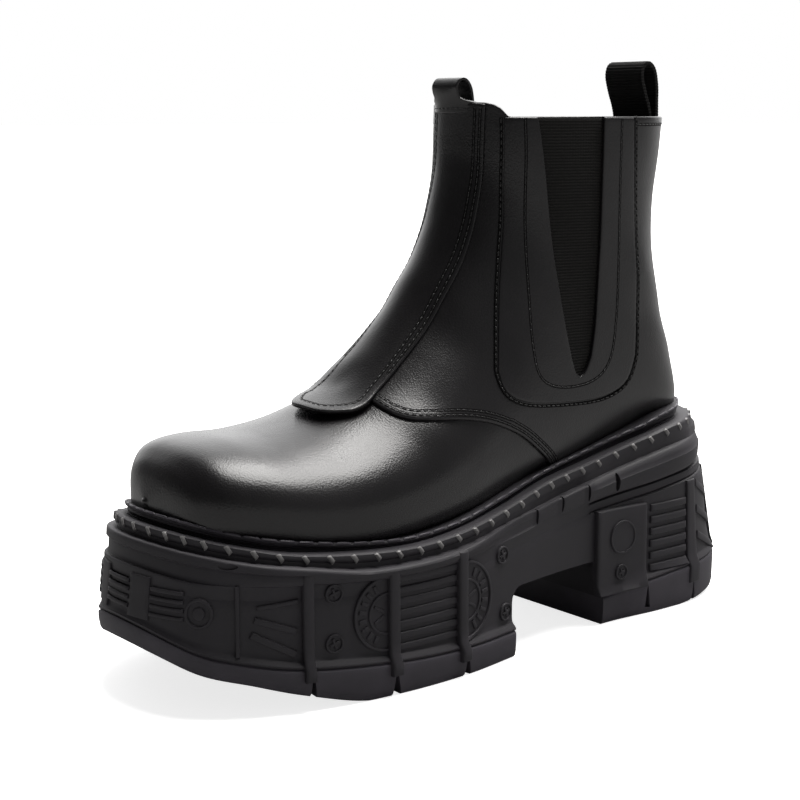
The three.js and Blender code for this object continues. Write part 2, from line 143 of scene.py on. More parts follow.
# Seam between the vamp and the quarters: y and z from under the strip to the welt.
VAMP_SEAM = np.array([
    (-46.6, 103.2), (-46.2, 101), (-43.6, 98.2), (-38.6, 96.6), (-32, 96.2), (-18, 95.2),
    (-3.4, 92.0), (12, 85.6), (24, 77.6), (35.4, 69), (45, 60),
], float)


# ---- curves and forms ---------------------------------------------------------------
def rows_at(table, place):
    """A smooth row between the rows of a table, at places from 0 to 1 along it."""
    final = len(table) - 1
    spot = np.clip(place, 0, 1) * final
    i = np.minimum(spot.astype(int), final - 1)
    t = (spot - i)[..., None]
    a, b, c, d = (table[np.clip(i + k, 0, final)] for k in (-1, 0, 1, 2))
    bend = 2 * a - 5 * b + 4 * c - d + (3 * b - a - 3 * c + d) * t
    return b + 0.5 * t * (c - a + t * bend)


def smooth_step(low, high, value):
    t = np.clip((value - low) / (high - low), 0, 1)
    return t * t * (3 - 2 * t)


def unit(ways):
    return ways / np.maximum(np.linalg.norm(ways, axis=-1, keepdims=True), 1e-9)


def evenly(points, count):
    """Points spaced evenly along a row of points."""
    steps = np.linalg.norm(np.diff(points, axis=0), axis=1)
    run = np.concatenate([[0], np.cumsum(steps)])
    at = np.linspace(0, run[-1], count)
    return np.stack([np.interp(at, run, points[:, k]) for k in range(points.shape[1])], -1)


def curve_through(points, count):
    return evenly(rows_at(points, np.linspace(0, 1, 40 * len(points))), count)


def last_form(place, angle):
    """A point of the last: place 0 to 1 from toe to collar, angle 0 on the outer side,
    a quarter turn at the ridge, minus a quarter turn underneath and at the back."""
    row = np.moveaxis(rows_at(LAST, place), -1, 0)
    bottom_y, bottom_z, top_y, top_z, outer, inner, ridge, wide, low, high = row
    cosine, sine = np.cos(angle), np.sin(angle)
    power = np.where(sine < 0, low, high)
    radius = (np.abs(cosine) ** power + np.abs(sine) ** power) ** (-1 / power)
    across, reach = radius * cosine, radius * sine
    up = wide + reach * np.where(reach < 0, wide, 1 - wide)
    half, middle = (outer - inner) / 2, (outer + inner) / 2
    lean = np.maximum(0, reach) ** 2 * (ridge - middle)
    return np.stack([
        middle + lean + half * across,
        bottom_y + up * (top_y - bottom_y),
        bottom_z + up * (top_z - bottom_z),
    ], -1)


def slopes(place, angle):
    """How the last's point moves with place and with angle."""
    e, g = 2e-3, 8e-3
    along = (last_form(place + e, angle) - last_form(place - e, angle)) / (
        np.clip(place + e, 0, 1) - np.clip(place - e, 0, 1)
    )[..., None]
    round_ = (last_form(place, angle + g) - last_form(place, angle - g)) / (2 * g)
    return along, round_


def outward(place, angle):
    return unit(np.cross(*slopes(place, angle)))


# Soft folds of the worn-in leather: start, end, half width and depth, in the boot's sizes.
CREASES = [
    ((-30, -52, 100), (-2, -47, 104.5), 5.0, -0.45),
    ((-34, -42, 99), (-6, -38, 112), 5.5, 0.40),
    ((40, -30, 92), (24, -44, 101), 7.0, 0.35),
    ((43, -14, 84), (33, -26, 100), 8.0, -0.45),
    ((30, -6, 122), (18, -16, 129), 8.0, -0.40),
    ((32, 6, 138), (16, -4, 147), 9.0, 0.35),
    ((-33, -2, 122), (-16, -14, 130), 7.0, -0.45),
    ((-34, 10, 138), (-14, 0, 148), 8.0, -0.35),
    ((33, 88, 128), (16, 112, 122), 9.0, -0.45),
    ((33, 84, 146), (14, 108, 142), 10.0, 0.35),
    ((-35, 88, 128), (-18, 112, 122), 9.0, -0.45),
]


def folds(points):
    """Height that the folds add at each point."""
    total = np.zeros(points.shape[:-1])
    for start, end, width, depth in CREASES:
        start, end = np.array(start, float), np.array(end, float)
        run = end - start
        t = np.clip(((points - start) @ run) / (run @ run), 0, 1)
        gap = np.linalg.norm(points - start - t[..., None] * run, axis=-1)
        total += depth * np.exp(-((gap / width) ** 2))
    return total


def skin(place, angle, height=0.0):
    """A point of the upper's skin, lifted off the last by height."""
    place, angle = np.broadcast_arrays(np.asarray(place, float), np.asarray(angle, float))
    base = last_form(place, angle)
    lift = np.asarray(height) + folds(base)
    return base + outward(place, angle) * lift[..., None]


def search(place, angle, target, axes):
    """Moves places and angles until two coordinates of the last's points hit target."""
    place = np.broadcast_to(place, target.shape[:-1]).astype(float)
    angle = np.broadcast_to(angle, target.shape[:-1]).astype(float)
    for _ in range(24):
        miss = target - last_form(place, angle)[..., axes]
        along, round_ = slopes(place, angle)
        a, b = along[..., axes[0]], round_[..., axes[0]]
        c, d = along[..., axes[1]], round_[..., axes[1]]
        det = a * d - b * c
        det = np.where(np.abs(det) < 1e-3, 1e-3, det)
        step_p = (d * miss[..., 0] - b * miss[..., 1]) / det
        step_a = (a * miss[..., 1] - c * miss[..., 0]) / det
        place = np.clip(place + np.clip(step_p, -0.03, 0.03), 0.002, 0.998)
        angle = angle + np.clip(step_a, -0.12, 0.12)
    return place, angle


GUESS_PLACE, GUESS_ANGLE = np.meshgrid(
    np.linspace(0.02, 0.98, 120), np.radians(np.linspace(-85, 85, 86)), indexing="ij"
)
GUESS = last_form(GUESS_PLACE, GUESS_ANGLE)


def on_side(points, side=1):
    """Place and angle of the skin at y and z, on the outer side, or mirrored inside."""
    flat = points.reshape(-1, 2)
    gap = ((GUESS[None, ..., 1:] - flat[:, None, None, :]) ** 2).sum(-1).reshape(len(flat), -1)
    near = gap.argmin(1)
    place, angle = search(
        GUESS_PLACE.ravel()[near], GUESS_ANGLE.ravel()[near], flat, (1, 2)
    )
    shape = points.shape[:-1]
    place, angle = place.reshape(shape), angle.reshape(shape)
    return place, angle if side > 0 else math.pi - angle


def beside(place, angle, offset):
    """The row moved sideways over the skin by offset millimetres."""
    along, round_ = slopes(place, angle)
    points = last_form(place, angle)
    push = np.cross(unit(np.cross(along, round_)), unit(np.gradient(points, axis=0))) * offset
    aa, ab, bb = (along * along).sum(-1), (along * round_).sum(-1), (round_ * round_).sum(-1)
    ap, bp = (along * push).sum(-1), (round_ * push).sum(-1)
    det = aa * bb - ab * ab
    return place + (bb * ap - ab * bp) / det, angle + (aa * bp - ab * ap) / det


def collar_height(y):
    return np.interp(
        y, [11, 13, 15, 16.5, 17.6, 18.4, 19.2],
        [COLLAR_FRONT_Z, 215.1, 214.4, 213.2, 211.6, 210.3, COLLAR_Z],
    )


def collar_place(angle, drop=0.0):
    """Place where the skin meets the collar's edge, less a drop."""
    low, high = np.full(np.shape(angle), 0.55), np.ones(np.shape(angle))
    for _ in range(36):
        middle = (low + high) / 2
        point = last_form(middle, angle)
        over = point[..., 2] > collar_height(point[..., 1]) - drop
        low, high = np.where(over, low, middle), np.where(over, middle, high)
    return (low + high) / 2


# ---- the sole's outline and walls ---------------------------------------------------
closed_plan = np.vstack([PLAN[-1:], PLAN, PLAN[:2]])
plan_run = np.linspace(1 / 26, 25 / 26, 4801)
plan_line = rows_at(closed_plan, plan_run)
plan_length = np.concatenate([
    [0], np.cumsum(np.linalg.norm(np.diff(plan_line, axis=0), axis=1))
])
GIRTH = plan_length[-1]
HEEL_TIP = float(np.interp(2400, np.arange(4801), plan_length))  # run to the heel's tip
plan_tangent = unit(np.gradient(plan_line, axis=0))
level_line = rows_at(LEVELS, np.linspace(0, 1, 400))


def level(spot, y):
    """Height of a line of the sole at y. A spot between two lines is a share of the way."""
    if isinstance(spot, str):
        spot = len(LEVEL_KEYS) - 1 - LEVEL_KEYS.index(spot)
    low = min(int(spot), len(LEVEL_KEYS) - 2)
    heights = [
        np.interp(y, level_line[:, 0], level_line[:, len(LEVEL_KEYS) - line])
        for line in (low, low + 1)
    ]
    return np.maximum(0, heights[0] + (heights[1] - heights[0]) * (spot - low))


def outline(run):
    """The outline's point and direction at a distance from the toe tip, outer side first."""
    run = np.mod(run, GIRTH)
    point = np.stack([np.interp(run, plan_length, plan_line[:, k]) for k in (0, 1)], -1)
    way = np.stack([np.interp(run, plan_length, plan_tangent[:, k]) for k in (0, 1)], -1)
    return point, way


def draw(y, inset, toe=0, heel=0, front=0, hind=0, waist=0):
    """How far a line of the sole lies inside the outline: toe and heel more towards the
    two ends, front more before the first rib, hind more behind the arch, waist more
    from the arch on."""
    move = inset + toe * (1 - smooth_step(-146, -100, y)) + heel * smooth_step(95, 146, y)
    move = move + front * (1 - smooth_step(-101, -97.5, y)) + hind * smooth_step(48, 54, y)
    plates = sum(smooth_step(start, start + 1, y) for start in (16, 31.2, 47))
    return move + waist * smooth_step(-45, 5, y) * (1 - 0.27 * plates)


def inside(point, way, move):
    """A point of the outline moved inwards."""
    return [point[..., 0] - way[..., 1] * move, point[..., 1] + way[..., 0] * move]


def moved_in(run, *amounts):
    """The outline moved in."""
    point, way = outline(run)
    return np.stack(inside(point, way, draw(point[..., 1], *amounts)), -1)


def side_run(run, side):
    """A run on the outer side, or its mirrored place on the inner side."""
    return np.asarray(run if side > 0 else -run * (GIRTH - HEEL_TIP) / HEEL_TIP)


# The panels of the side from the ground up: level and lift, then how far inside.
SIDE_PROFILE = [
    ("ground", 0, 1.2), ("ground", 2, 0.5), ("band", -1, 0), ("band", 0.8, 0.1),
    ("band", 3.4, 2.4, -1.3, -0.8), ("roll_low", -5.2, 2.6, 0, 4.6),
]


def on_wall(run, z, out):
    """A point of the sole's side at a run and a height, standing out by a distance."""
    point, way = outline(run)
    y = point[..., 1]
    z = np.asarray(z, float)
    heights = [level(key, y) + lift for key, lift, *_ in SIDE_PROFILE]
    moves = [draw(y, *amounts) for _, _, *amounts in SIDE_PROFILE]
    move = moves[0]
    for low in range(len(SIDE_PROFILE) - 1):
        share = (z - heights[low]) / np.maximum(heights[low + 1] - heights[low], 1e-6)
        between = moves[low] + np.clip(share, 0, 1) * (moves[low + 1] - moves[low])
        move = np.where(z > heights[low], between, move)
    return np.stack([*inside(point, way, move - out), z], -1)


# ---- making and finishing pieces ----------------------------------------------------
def pick(*pieces):
    """Selects pieces alone, the first one active."""
    bpy.ops.object.select_all(action="DESELECT")
    for piece in pieces:
        piece.select_set(True)
    bpy.context.view_layer.objects.active = pieces[0]


def start(shape, **settings):
    """A primitive to shape further."""
    bpy.ops.object.select_all(action="DESELECT")
    getattr(bpy.ops.mesh, f"primitive_{shape}_add")(**settings)
    return bpy.context.object


def settle():
    """Puts the place, turn and scale of the picked piece into its mesh."""
    bpy.ops.object.transform_apply(location=True, rotation=True, scale=True)


def edit(piece):
    pick(piece)
    bpy.ops.object.mode_set(mode="EDIT")
    return bmesh.from_edit_mesh(piece.data)


def select(action="SELECT"):
    bpy.ops.mesh.select_all(action=action)


def choose(piece, elements, test):
    """Selects only the faces or edges that pass a test."""
    select("DESELECT")
    for element in elements:
        if test(element):
            element.select_set(True)
    bmesh.update_edit_mesh(piece.data)


def face_out():
    select()
    bpy.ops.mesh.normals_make_consistent(inside=False)


def pull(way):
    bpy.ops.mesh.extrude_region_move(TRANSFORM_OT_translate={"value": way})


def done(piece):
    bpy.ops.object.mode_set(mode="OBJECT")
    return piece


def corners(piece):
    flat = np.empty(len(piece.data.vertices) * 3)
    piece.data.vertices.foreach_get("co", flat)
    return flat.reshape(-1, 3)


def place_corners(piece, points):
    piece.data.vertices.foreach_set("co", np.ascontiguousarray(points).ravel())
    piece.data.update()


def sheet(name, across, along, lay, close=True, turn=False):
    """A square of cells laid over a form: lay gives the point for each share across and
    each row number along. close welds the edges that meet."""
    piece = start("grid", x_subdivisions=across, y_subdivisions=along, size=2)
    piece.name = name
    flat = corners(piece)
    u = (flat[:, 0] + 1) / 2
    j = np.rint((flat[:, 1] + 1) / 2 * along).astype(int)
    place_corners(piece, lay(u, j) * MM)
    edit(piece)
    select()
    if close:
        bpy.ops.mesh.remove_doubles(threshold=2e-6)
    if turn:
        bpy.ops.mesh.flip_normals()
    return done(piece)


def finish_with(piece, kind, **settings):
    pick(piece)
    modifier = piece.modifiers.new(kind.lower(), kind)
    for key, value in settings.items():
        setattr(modifier, key, value)
    bpy.ops.object.modifier_apply(modifier=modifier.name)
    return piece


def thicken(piece, wall):
    """Gives a sheet its thickness, inwards from the side that faces out."""
    return finish_with(piece, "SOLIDIFY", thickness=wall * MM, offset=-1)


def finish_leather(piece, wall, edge=None, segments=3, angle=50):
    """Thickness, rounded edges and smooth shading of a sheet of leather or cloth."""
    thicken(piece, wall)
    if edge:
        round_edges(piece, edge, segments)
    return smooth(piece, angle)


def round_edges(piece, width, segments=2, angle=50):
    return finish_with(
        piece, "BEVEL", width=width * MM, segments=segments, limit_method="ANGLE",
        angle_limit=math.radians(angle), use_clamp_overlap=True,
    )


def smooth(piece, angle=42):
    pick(piece)
    bpy.ops.object.shade_smooth_by_angle(angle=math.radians(angle))
    return piece


def join(name, pieces):
    pick(*pieces)
    bpy.ops.object.join()
    pieces[0].name = name
    return pieces[0]


def carve(piece, cutter, operation="DIFFERENCE"):
    finish_with(piece, "BOOLEAN", operation=operation, object=cutter, solver="EXACT")
    bpy.data.objects.remove(cutter)
    return piece


def outside_out(piece):
    edit(piece)
    face_out()
    return done(piece)


def fix(piece, slot, finish, *nodes):
    """Material, body and replaced solids of a finished piece. The slot argument is not used."""
    piece.data.materials.clear()
    piece.data.materials.append(finish)
    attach(piece, "root")
    if nodes:
        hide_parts(*nodes)
    return piece


# ---- shader shorthand ---------------------------------------------------------------
class Signal:
    """A shader socket that takes part in Python sums."""

    def __init__(self, paint, socket):
        self.paint, self.socket = paint, socket

    def _maths(self, operation, *values):
        inputs = dict(enumerate(values))
        node = self.paint.node("ShaderNodeMath", {"operation": operation}, inputs)
        return Signal(self.paint, node.outputs[0])

    def __add__(self, other):
        return self._maths("ADD", self, other)

    def __rsub__(self, other):
        return self._maths("SUBTRACT", other, self)

    def __mul__(self, other):
        return self._maths("MULTIPLY", self, other)

    __radd__ = __add__
    __rmul__ = __mul__

    def sine(self):
        return self._maths("SINE", self)

    def between(self, low, high):
        """0 below low, 1 above high, smooth between."""
        node = self.paint.node(
            "ShaderNodeMapRange", {"interpolation_type": "SMOOTHSTEP"},
            {"Value": self, "From Min": low, "From Max": high},
        )
        return Signal(self.paint, node.outputs[0])


class Nodes:
    """A node tree with its shader."""

    def __init__(self, tree, shader):
        self.tree, self.shader = tree, tree.nodes[shader]

    def node(self, kind, settings, inputs):
        node = self.tree.nodes.new(kind)
        for key, value in settings.items():
            setattr(node, key, value)
        for key, value in inputs.items():
            self.feed(node.inputs[key], value)
        return node

    def feed(self, socket, value):
        if isinstance(value, Signal):
            value = value.socket
        if isinstance(value, bpy.types.NodeSocket):
            self.tree.links.new(value, socket)
        else:
            socket.default_value = value


class Paint(Nodes):
    """A material and the nodes that make it."""

    def __init__(self, name, **constants):
        self.material = bpy.data.materials.new(name)
        self.material.use_nodes = True
        super().__init__(self.material.node_tree, "Principled BSDF")
        for key, value in constants.items():
            self.shader.inputs[key.replace("_", " ")].default_value = value
        self.place = self.node("ShaderNodeTexCoord", {}, {}).outputs["Object"]

    def noise(self, scale, detail=3, rough=0.5, stretch=(1, 1, 1)):
        place = self.node(
            "ShaderNodeMapping", {}, {"Vector": self.place, "Scale": stretch}
        ).outputs[0]
        node = self.node(
            "ShaderNodeTexNoise", {},
            {"Vector": place, "Scale": scale, "Detail": detail, "Roughness": rough},
        )
        return Signal(self, node.outputs[0])

    def pebble(self, scale, smoothness=0.6):
        node = self.node(
            "ShaderNodeTexVoronoi", {"feature": "SMOOTH_F1"},
            {"Vector": self.place, "Scale": scale, "Smoothness": smoothness},
        )
        return Signal(self, node.outputs["Distance"])

    def axis(self, name):
        node = self.node("ShaderNodeSeparateXYZ", {}, {0: self.place})
        return Signal(self, node.outputs[name])

    def blend(self, share, first, second):
        """One colour turning into another as share goes from 0 to 1."""
        node = self.node("ShaderNodeMix", {"data_type": "RGBA"}, {"Factor": share})
        self.feed(node.inputs[6], first)
        self.feed(node.inputs[7], second)
        return node.outputs[2]

    def bump(self, height, strength, distance, below=None):
        inputs = {"Height": height, "Strength": strength, "Distance": distance}
        if below is not None:
            inputs["Normal"] = below
        return self.node("ShaderNodeBump", {}, inputs).outputs[0]

    def set(self, **values):
        for key, value in values.items():
            self.feed(self.shader.inputs[key.replace("_", " ")], value)
        return self.material


def leather(name, gloss, shade=1.0):
    """Black box calf: fine pores and a slow unevenness of tone and gloss."""
    paint = Paint(name, Specular_IOR_Level=0.5, Coat_Weight=0.0)
    slow = paint.noise(26, 3)
    pores = paint.pebble(1400, 0.5)
    grain = paint.noise(2200, 2)
    wear = slow.between(0.35, 0.7)
    colour = paint.blend(
        wear, (0.0062 * shade, 0.0055 * shade, 0.0064 * shade, 1),
        (0.0105 * shade, 0.0094 * shade, 0.0104 * shade, 1),
    )
    rough = gloss + wear * 0.05 + grain * 0.05
    fine = paint.bump(pores * 0.7 + grain * 0.5, 0.36, 0.0002)
    soft = paint.bump(paint.noise(70, 2), 0.12, 0.0012, fine)
    return paint.set(Base_Color=colour, Roughness=rough, Normal=soft)


def rubber(name, shade=1.0, rough=0.58):
    """Moulded black rubber: a dusty bloom over a fine spark-eroded texture."""
    paint = Paint(name, Specular_IOR_Level=0.5)
    bloom = paint.noise(38, 4).between(0.35, 0.75)
    fine = paint.noise(3200, 2)
    colour = paint.blend(
        bloom, (0.0138 * shade, 0.0124 * shade, 0.0156 * shade, 1),
        (0.0212 * shade, 0.0191 * shade, 0.0234 * shade, 1),
    )
    surface = paint.bump(fine, 0.25, 0.0001)
    rough = rough + bloom * 0.08 + fine * 0.06
    return paint.set(Base_Color=colour, Roughness=rough, Normal=surface)


def ribbed(name, pitch, thread, dark, light):
    """Level woven ribs, with the crossing threads between them."""
    paint = Paint(name, Specular_IOR_Level=0.25)
    wobble = paint.noise(300, 2) * 0.00012
    ribs = ((paint.axis("Z") + wobble) * (2 * math.pi / pitch)).sine() * 0.5 + 0.5
    threads = (paint.axis("Y") * (2 * math.pi / thread)).sine() * 0.5 + 0.5
    fuzz = paint.noise(1800, 3)
    height = ribs * 0.7 + threads * 0.3 * ribs + fuzz * 0.25
    # The colour follows the rib height: darker in the valleys, which is painted shade.
    colour = paint.blend(ribs * 0.7 + fuzz * 0.3, dark, light)
    return paint.set(
        Base_Color=colour, Roughness=0.78 + fuzz * 0.15,
        Normal=paint.bump(height, 0.55, 0.0004),
    )


polished = leather("polished_leather", 0.25)
satin = leather("satin_leather", 0.26, 1.15)
sole_rubber = rubber("sole_rubber", 1.5)
# The welt's cord: the sole's rubber painted lighter and glossier, a painted highlight along the
# rim.
painted_cord_highlight = rubber("painted_cord_highlight", 3.4, 0.42)
# The treads: the sole's rubber painted lighter, standing in for the light that falls on them.
tread_rubber_painted_lighter = rubber("tread_rubber_painted_lighter", 3.4, 0.6)
elastic_weave = ribbed(
    "elastic_weave", 0.0012, 0.0013, (0.0012, 0.0011, 0.001, 1), (0.016, 0.0152, 0.0142, 1)
)
loop_weave = ribbed(
    "loop_weave", 0.0013, 0.0008, (0.003, 0.003, 0.003, 1), (0.014, 0.0138, 0.0135, 1)
)


def make_thread():
    paint = Paint("black_thread", Specular_IOR_Level=0.5, Sheen_Weight=0.1)
    twist = (paint.axis("X") + paint.axis("Y") + paint.axis("Z")) * (2 * math.pi / 0.0005)
    strand = twist.sine() * 0.5 + 0.5
    # The colour follows the twist's relief: darker in the grooves between the plies, which is
    # painted shade.
    colour = paint.blend(strand, (0.004, 0.0038, 0.004, 1), (0.011, 0.0106, 0.011, 1))
    return paint.set(
        Base_Color=colour, Roughness=0.42 + strand * 0.12, Normal=paint.bump(strand, 0.3, 0.0001)
    )


def make_lining():
    paint = Paint("lining_cloth", Specular_IOR_Level=0.2)
    weave = paint.noise(2200, 2, stretch=(1, 1, 2.2))
    slow = paint.noise(60, 3)
    colour = paint.blend(
        weave * 0.6 + slow * 0.4, (0.006, 0.0055, 0.0055, 1), (0.02, 0.019, 0.019, 1)
    )
    return paint.set(
        Base_Color=colour, Roughness=0.82 + weave * 0.12, Normal=paint.bump(weave, 0.5, 0.0002)
    )


def make_painted_stitch_highlight():
    """Moulded stitches: the sole's black rubber painted light grey, a painted highlight."""
    paint = Paint("painted_stitch_highlight", Specular_IOR_Level=0.55)
    patchiness = paint.noise(500, 2)
    colour = paint.blend(patchiness, (0.13, 0.126, 0.128, 1), (0.22, 0.214, 0.212, 1))
    return paint.set(
        Base_Color=colour, Roughness=0.34 + patchiness * 0.12, Normal=paint.bump(patchiness, 0.2, 0.0002)
    )


def make_painted_track_shade():
    """The dark bottom of the stitch tracks: near black and dull, painted shade."""
    paint = Paint("painted_track_shade", Specular_IOR_Level=0.12)
    wear = paint.noise(900, 2)
    colour = paint.blend(wear, (0.0012, 0.0011, 0.0012, 1), (0.003, 0.0028, 0.003, 1))
    return paint.set(Base_Color=colour, Roughness=0.7 + wear * 0.1)


painted_track_shade = make_painted_track_shade()
thread = make_thread()
lining_cloth = make_lining()
# light grey on the moulded ledge stitches is a painted highlight
painted_stitch_highlight = make_painted_stitch_highlight()

# ---- vamp and quarters --------------------------------------------------------------
ROUND = 224
seam_points = curve_through(VAMP_SEAM, 60)
seam_place, seam_angle = on_side(seam_points)
seam_turn = math.pi / 2 - seam_angle  # away from the ridge, on either side
order = np.argsort(seam_turn)


def seam_at(angle):
    """Place of the vamp seam at an angle of the last."""
    turn = np.abs(np.mod(angle - math.pi / 2 + math.pi, 2 * math.pi) - math.pi)
    return np.interp(turn, seam_turn[order], seam_place[order])


def full_turn(u):
    return u * 2 * math.pi - math.pi / 2


VAMP_TOE_ROWS, VAMP_ROWS = 5, 92
VAMP_TUCK = 0.016  # how far the vamp runs on under the quarters
TOE_MIDDLE = np.array([-5.5, -132.6, 71.5])
LINING_START, LINING_ROWS = 0.16, 60


def lay_vamp(u, j):
    angle = full_turn(u)
    reach = np.clip((j - VAMP_TOE_ROWS) / (VAMP_ROWS - VAMP_TOE_ROWS), 0, 1)
    place = reach * (seam_at(angle) + VAMP_TUCK)
    point = skin(place, angle, VAMP_LIFT)
    shrink = np.clip(j / VAMP_TOE_ROWS, 0, 1)
    capped = TOE_MIDDLE + (point - TOE_MIDDLE) * shrink[:, None]
    capped[:, 1] -= 1.0 * (1 - shrink**2)
    return np.where((j < VAMP_TOE_ROWS)[:, None], capped, point)


vamp = sheet("vamp", ROUND, VAMP_ROWS, lay_vamp, turn=True)
finish_leather(vamp, 1.4, angle=60)

QUARTER_ROWS = 96


def lay_quarters(u, j):
    angle = full_turn(u)
    start, end = seam_at(angle), collar_place(angle, 0.2)
    return skin(start + (end - start) * j / QUARTER_ROWS, angle, QUARTER_LIFT)


def gore_sides(count):
    """The two sides of the V, each from the tip up."""
    front = curve_through(np.vstack([GORE_FRONT, GORE_TIP[1:3]]), count)[::-1]
    return front, curve_through(np.vstack([GORE_TIP[2:], GORE_BACK[1:]]), count)


def gore_cutter(side):
    """A prism through one side, shaped as the V of the elastic."""
    rows = 40
    front, back = gore_sides(rows + 1)

    def lay(u, j):
        point = front[j] + (back[j] - front[j]) * u[:, None]
        return np.column_stack([np.full(len(u), side * 8.0), point])

    cutter = sheet("gore_cutter", 4, rows, lay)
    edit(cutter)
    select()
    pull((side * 0.06, 0, 0))
    face_out()
    return done(cutter)


quarters = sheet("quarters", ROUND, QUARTER_ROWS, lay_quarters, turn=True)
thicken(quarters, 2.3)
round_edges(quarters, 0.7, 3)
for side in (1, -1):
    carve(quarters, gore_cutter(side))
smooth(quarters, 50)

fix(vamp, "upper_leather", polished, "upper")
fix(quarters, "upper_leather", satin)


def lay_lining(u, j):
    angle = full_turn(u)
    end = collar_place(angle, 3.0)
    return skin(LINING_START + (end - LINING_START) * j / LINING_ROWS, angle, -2.05)


lining = sheet("lining", 120, LINING_ROWS, lay_lining, turn=True)
finish_leather(lining, 0.4, angle=60)
fix(lining, "insole_cloth", lining_cloth)

# ---- elastic and its leather surround -----------------------------------------------
SURROUND_LEGS = (46, 34, 46)
surround_top = COLLAR_Z - 0.5


def three_part(front, foot, back, top):
    """A U-shaped row of points in three parts, cut off level at the top."""
    parts = [curve_through(part, 400) for part in (front, foot, back)]
    parts[0] = parts[0][parts[0][:, 1] <= top]
    parts[2] = parts[2][parts[2][:, 1] <= top]
    parts = [evenly(part, count + 1) for part, count in zip(parts, SURROUND_LEGS)]
    return np.vstack([parts[0], parts[1][1:], parts[2][1:]])


gore_edge = three_part(GORE_FRONT, GORE_TIP, GORE_BACK, surround_top)
surround_edge = three_part(SURROUND_FRONT, SURROUND_FOOT, SURROUND_BACK, surround_top)


def make_surround(name, side):
    def lay(u, j):
        mid = surround_edge[j] + (gore_edge[j] - surround_edge[j]) * u[:, None]
        place, angle = on_side(mid, side)
        return skin(place, angle, SURROUND_LIFT)

    piece = sheet(name, 14, len(gore_edge) - 1, lay, close=False, turn=side > 0)
    return finish_leather(piece, 1.9, 0.45)


def make_elastic(name, side):
    rows, hidden = 60, 2.5
    front, back = (
        evenly(edge[edge[:, 1] <= surround_top], rows + 1) for edge in gore_sides(300)
    )
    front, back = front - (hidden, 0), back + (hidden, 0)
    front[0, 1] -= 2
    back[0, 1] -= 2

    def lay(u, j):
        place, angle = on_side(front[j] + (back[j] - front[j]) * u[:, None], side)
        return skin(place, angle, -0.35 - 0.25 * np.sin(u * math.pi))

    piece = sheet(name, 16, rows, lay, close=False, turn=side < 0)
    return finish_leather(piece, 1.1, 0.35, 2)


for side, word in ((1, "lateral"), (-1, "medial")):
    fix(make_surround(f"gore_surround_{word}", side), "upper_leather", satin)
    fix(make_elastic(f"elastic_{word}", side), "elastic", elastic_weave, f"gore_{word}")

# ---- instep strip with its free tab -------------------------------------------------
STRIP_WIDTHS = np.array([  # z and half width, from the tab up
    (95, 16.6), (98.5, 17.2), (101.5, 18.6), (104, 19.8), (109, 18.2), (121, 17), (136, 16.3),
    (150, 15.8), (165, 15.2), (181, 14.9), (198, 14.9), (230, 15),
])
STRIP_COLUMNS, STRIP_ROWS = 28, 110


def on_top(target):
    """Place and angle of the skin at x and y on the top of the foot."""
    return search(np.full(len(target), 0.34), math.pi / 2 - target[:, 0] / 44, target, (0, 1))


def at_width(place, x):
    """The angle at which the skin's x is x, on the front of the boot."""
    low, high = np.full(np.shape(x), math.radians(12)), np.full(np.shape(x), math.radians(168))
    for _ in range(34):
        middle = (low + high) / 2
        wide = last_form(place, middle)[..., 0] > x
        low, high = np.where(wide, middle, low), np.where(wide, high, middle)
    return (low + high) / 2


def strip_grid(c, share, margin=0.0):
    """Place and angle on the strip, c from -1 to 1 across, share 0 at the tab's end.
    The tab is narrower on the inner side."""
    end_x = CENTRE_X + c * (np.where(c > 0, 17.2, 14.0) - margin)
    end_y = -65.4 + margin + (10.4 - 0.3 * margin) * np.abs(c) ** 4
    place_end, _ = on_top(np.column_stack([end_x, end_y]))
    place_top = collar_place(np.full(len(c), math.pi / 2), 0.3)
    place = place_end + (place_top - place_end) * share
    ridge_z = last_form(place, np.full(len(c), math.pi / 2))[:, 2]
    half = np.interp(ridge_z, STRIP_WIDTHS[:, 0], STRIP_WIDTHS[:, 1])
    half = half * np.where(c > 0, 1, 0.8 + 0.2 * smooth_step(100, 150, ridge_z)) - margin
    return place, at_width(place, CENTRE_X + c * half)


def tab_lift(place, angle):
    """How far the free tab stands off the vamp."""
    y = last_form(place, angle)[..., 1]
    return 1.3 * (1 - smooth_step(-66, -50, y))


def lay_strip(u, j):
    place, angle = strip_grid(u * 2 - 1, j / STRIP_ROWS)
    return skin(place, angle, STRIP_LIFT + tab_lift(place, angle))


strip = sheet("front_strip", STRIP_COLUMNS, STRIP_ROWS, lay_strip, close=False)
finish_leather(strip, 1.9, 0.6)
fix(strip, "upper_leather", polished, "front_strip")

# ---- backstay -----------------------------------------------------------------------
def on_back(across, z):
    """Place and angle of the skin at a distance from the back's centre line and at z."""
    angle = -math.pi / 2 + across / 34
    target = np.column_stack([CENTRE_X + across, z])
    return search(np.full(len(across), 0.8), angle, target, (0, 2))


def lay_backstay(u, j):
    place, angle = on_back((u * 2 - 1) * BACKSTAY_HALF, 74 + (204.6 - 74) * j / 70)
    return skin(place, angle, BACKSTAY_LIFT)


backstay = sheet("backstay", 14, 70, lay_backstay, close=False, turn=True)
finish_leather(backstay, 1.3, 0.4)
fix(backstay, "upper_leather", satin, "backstay")


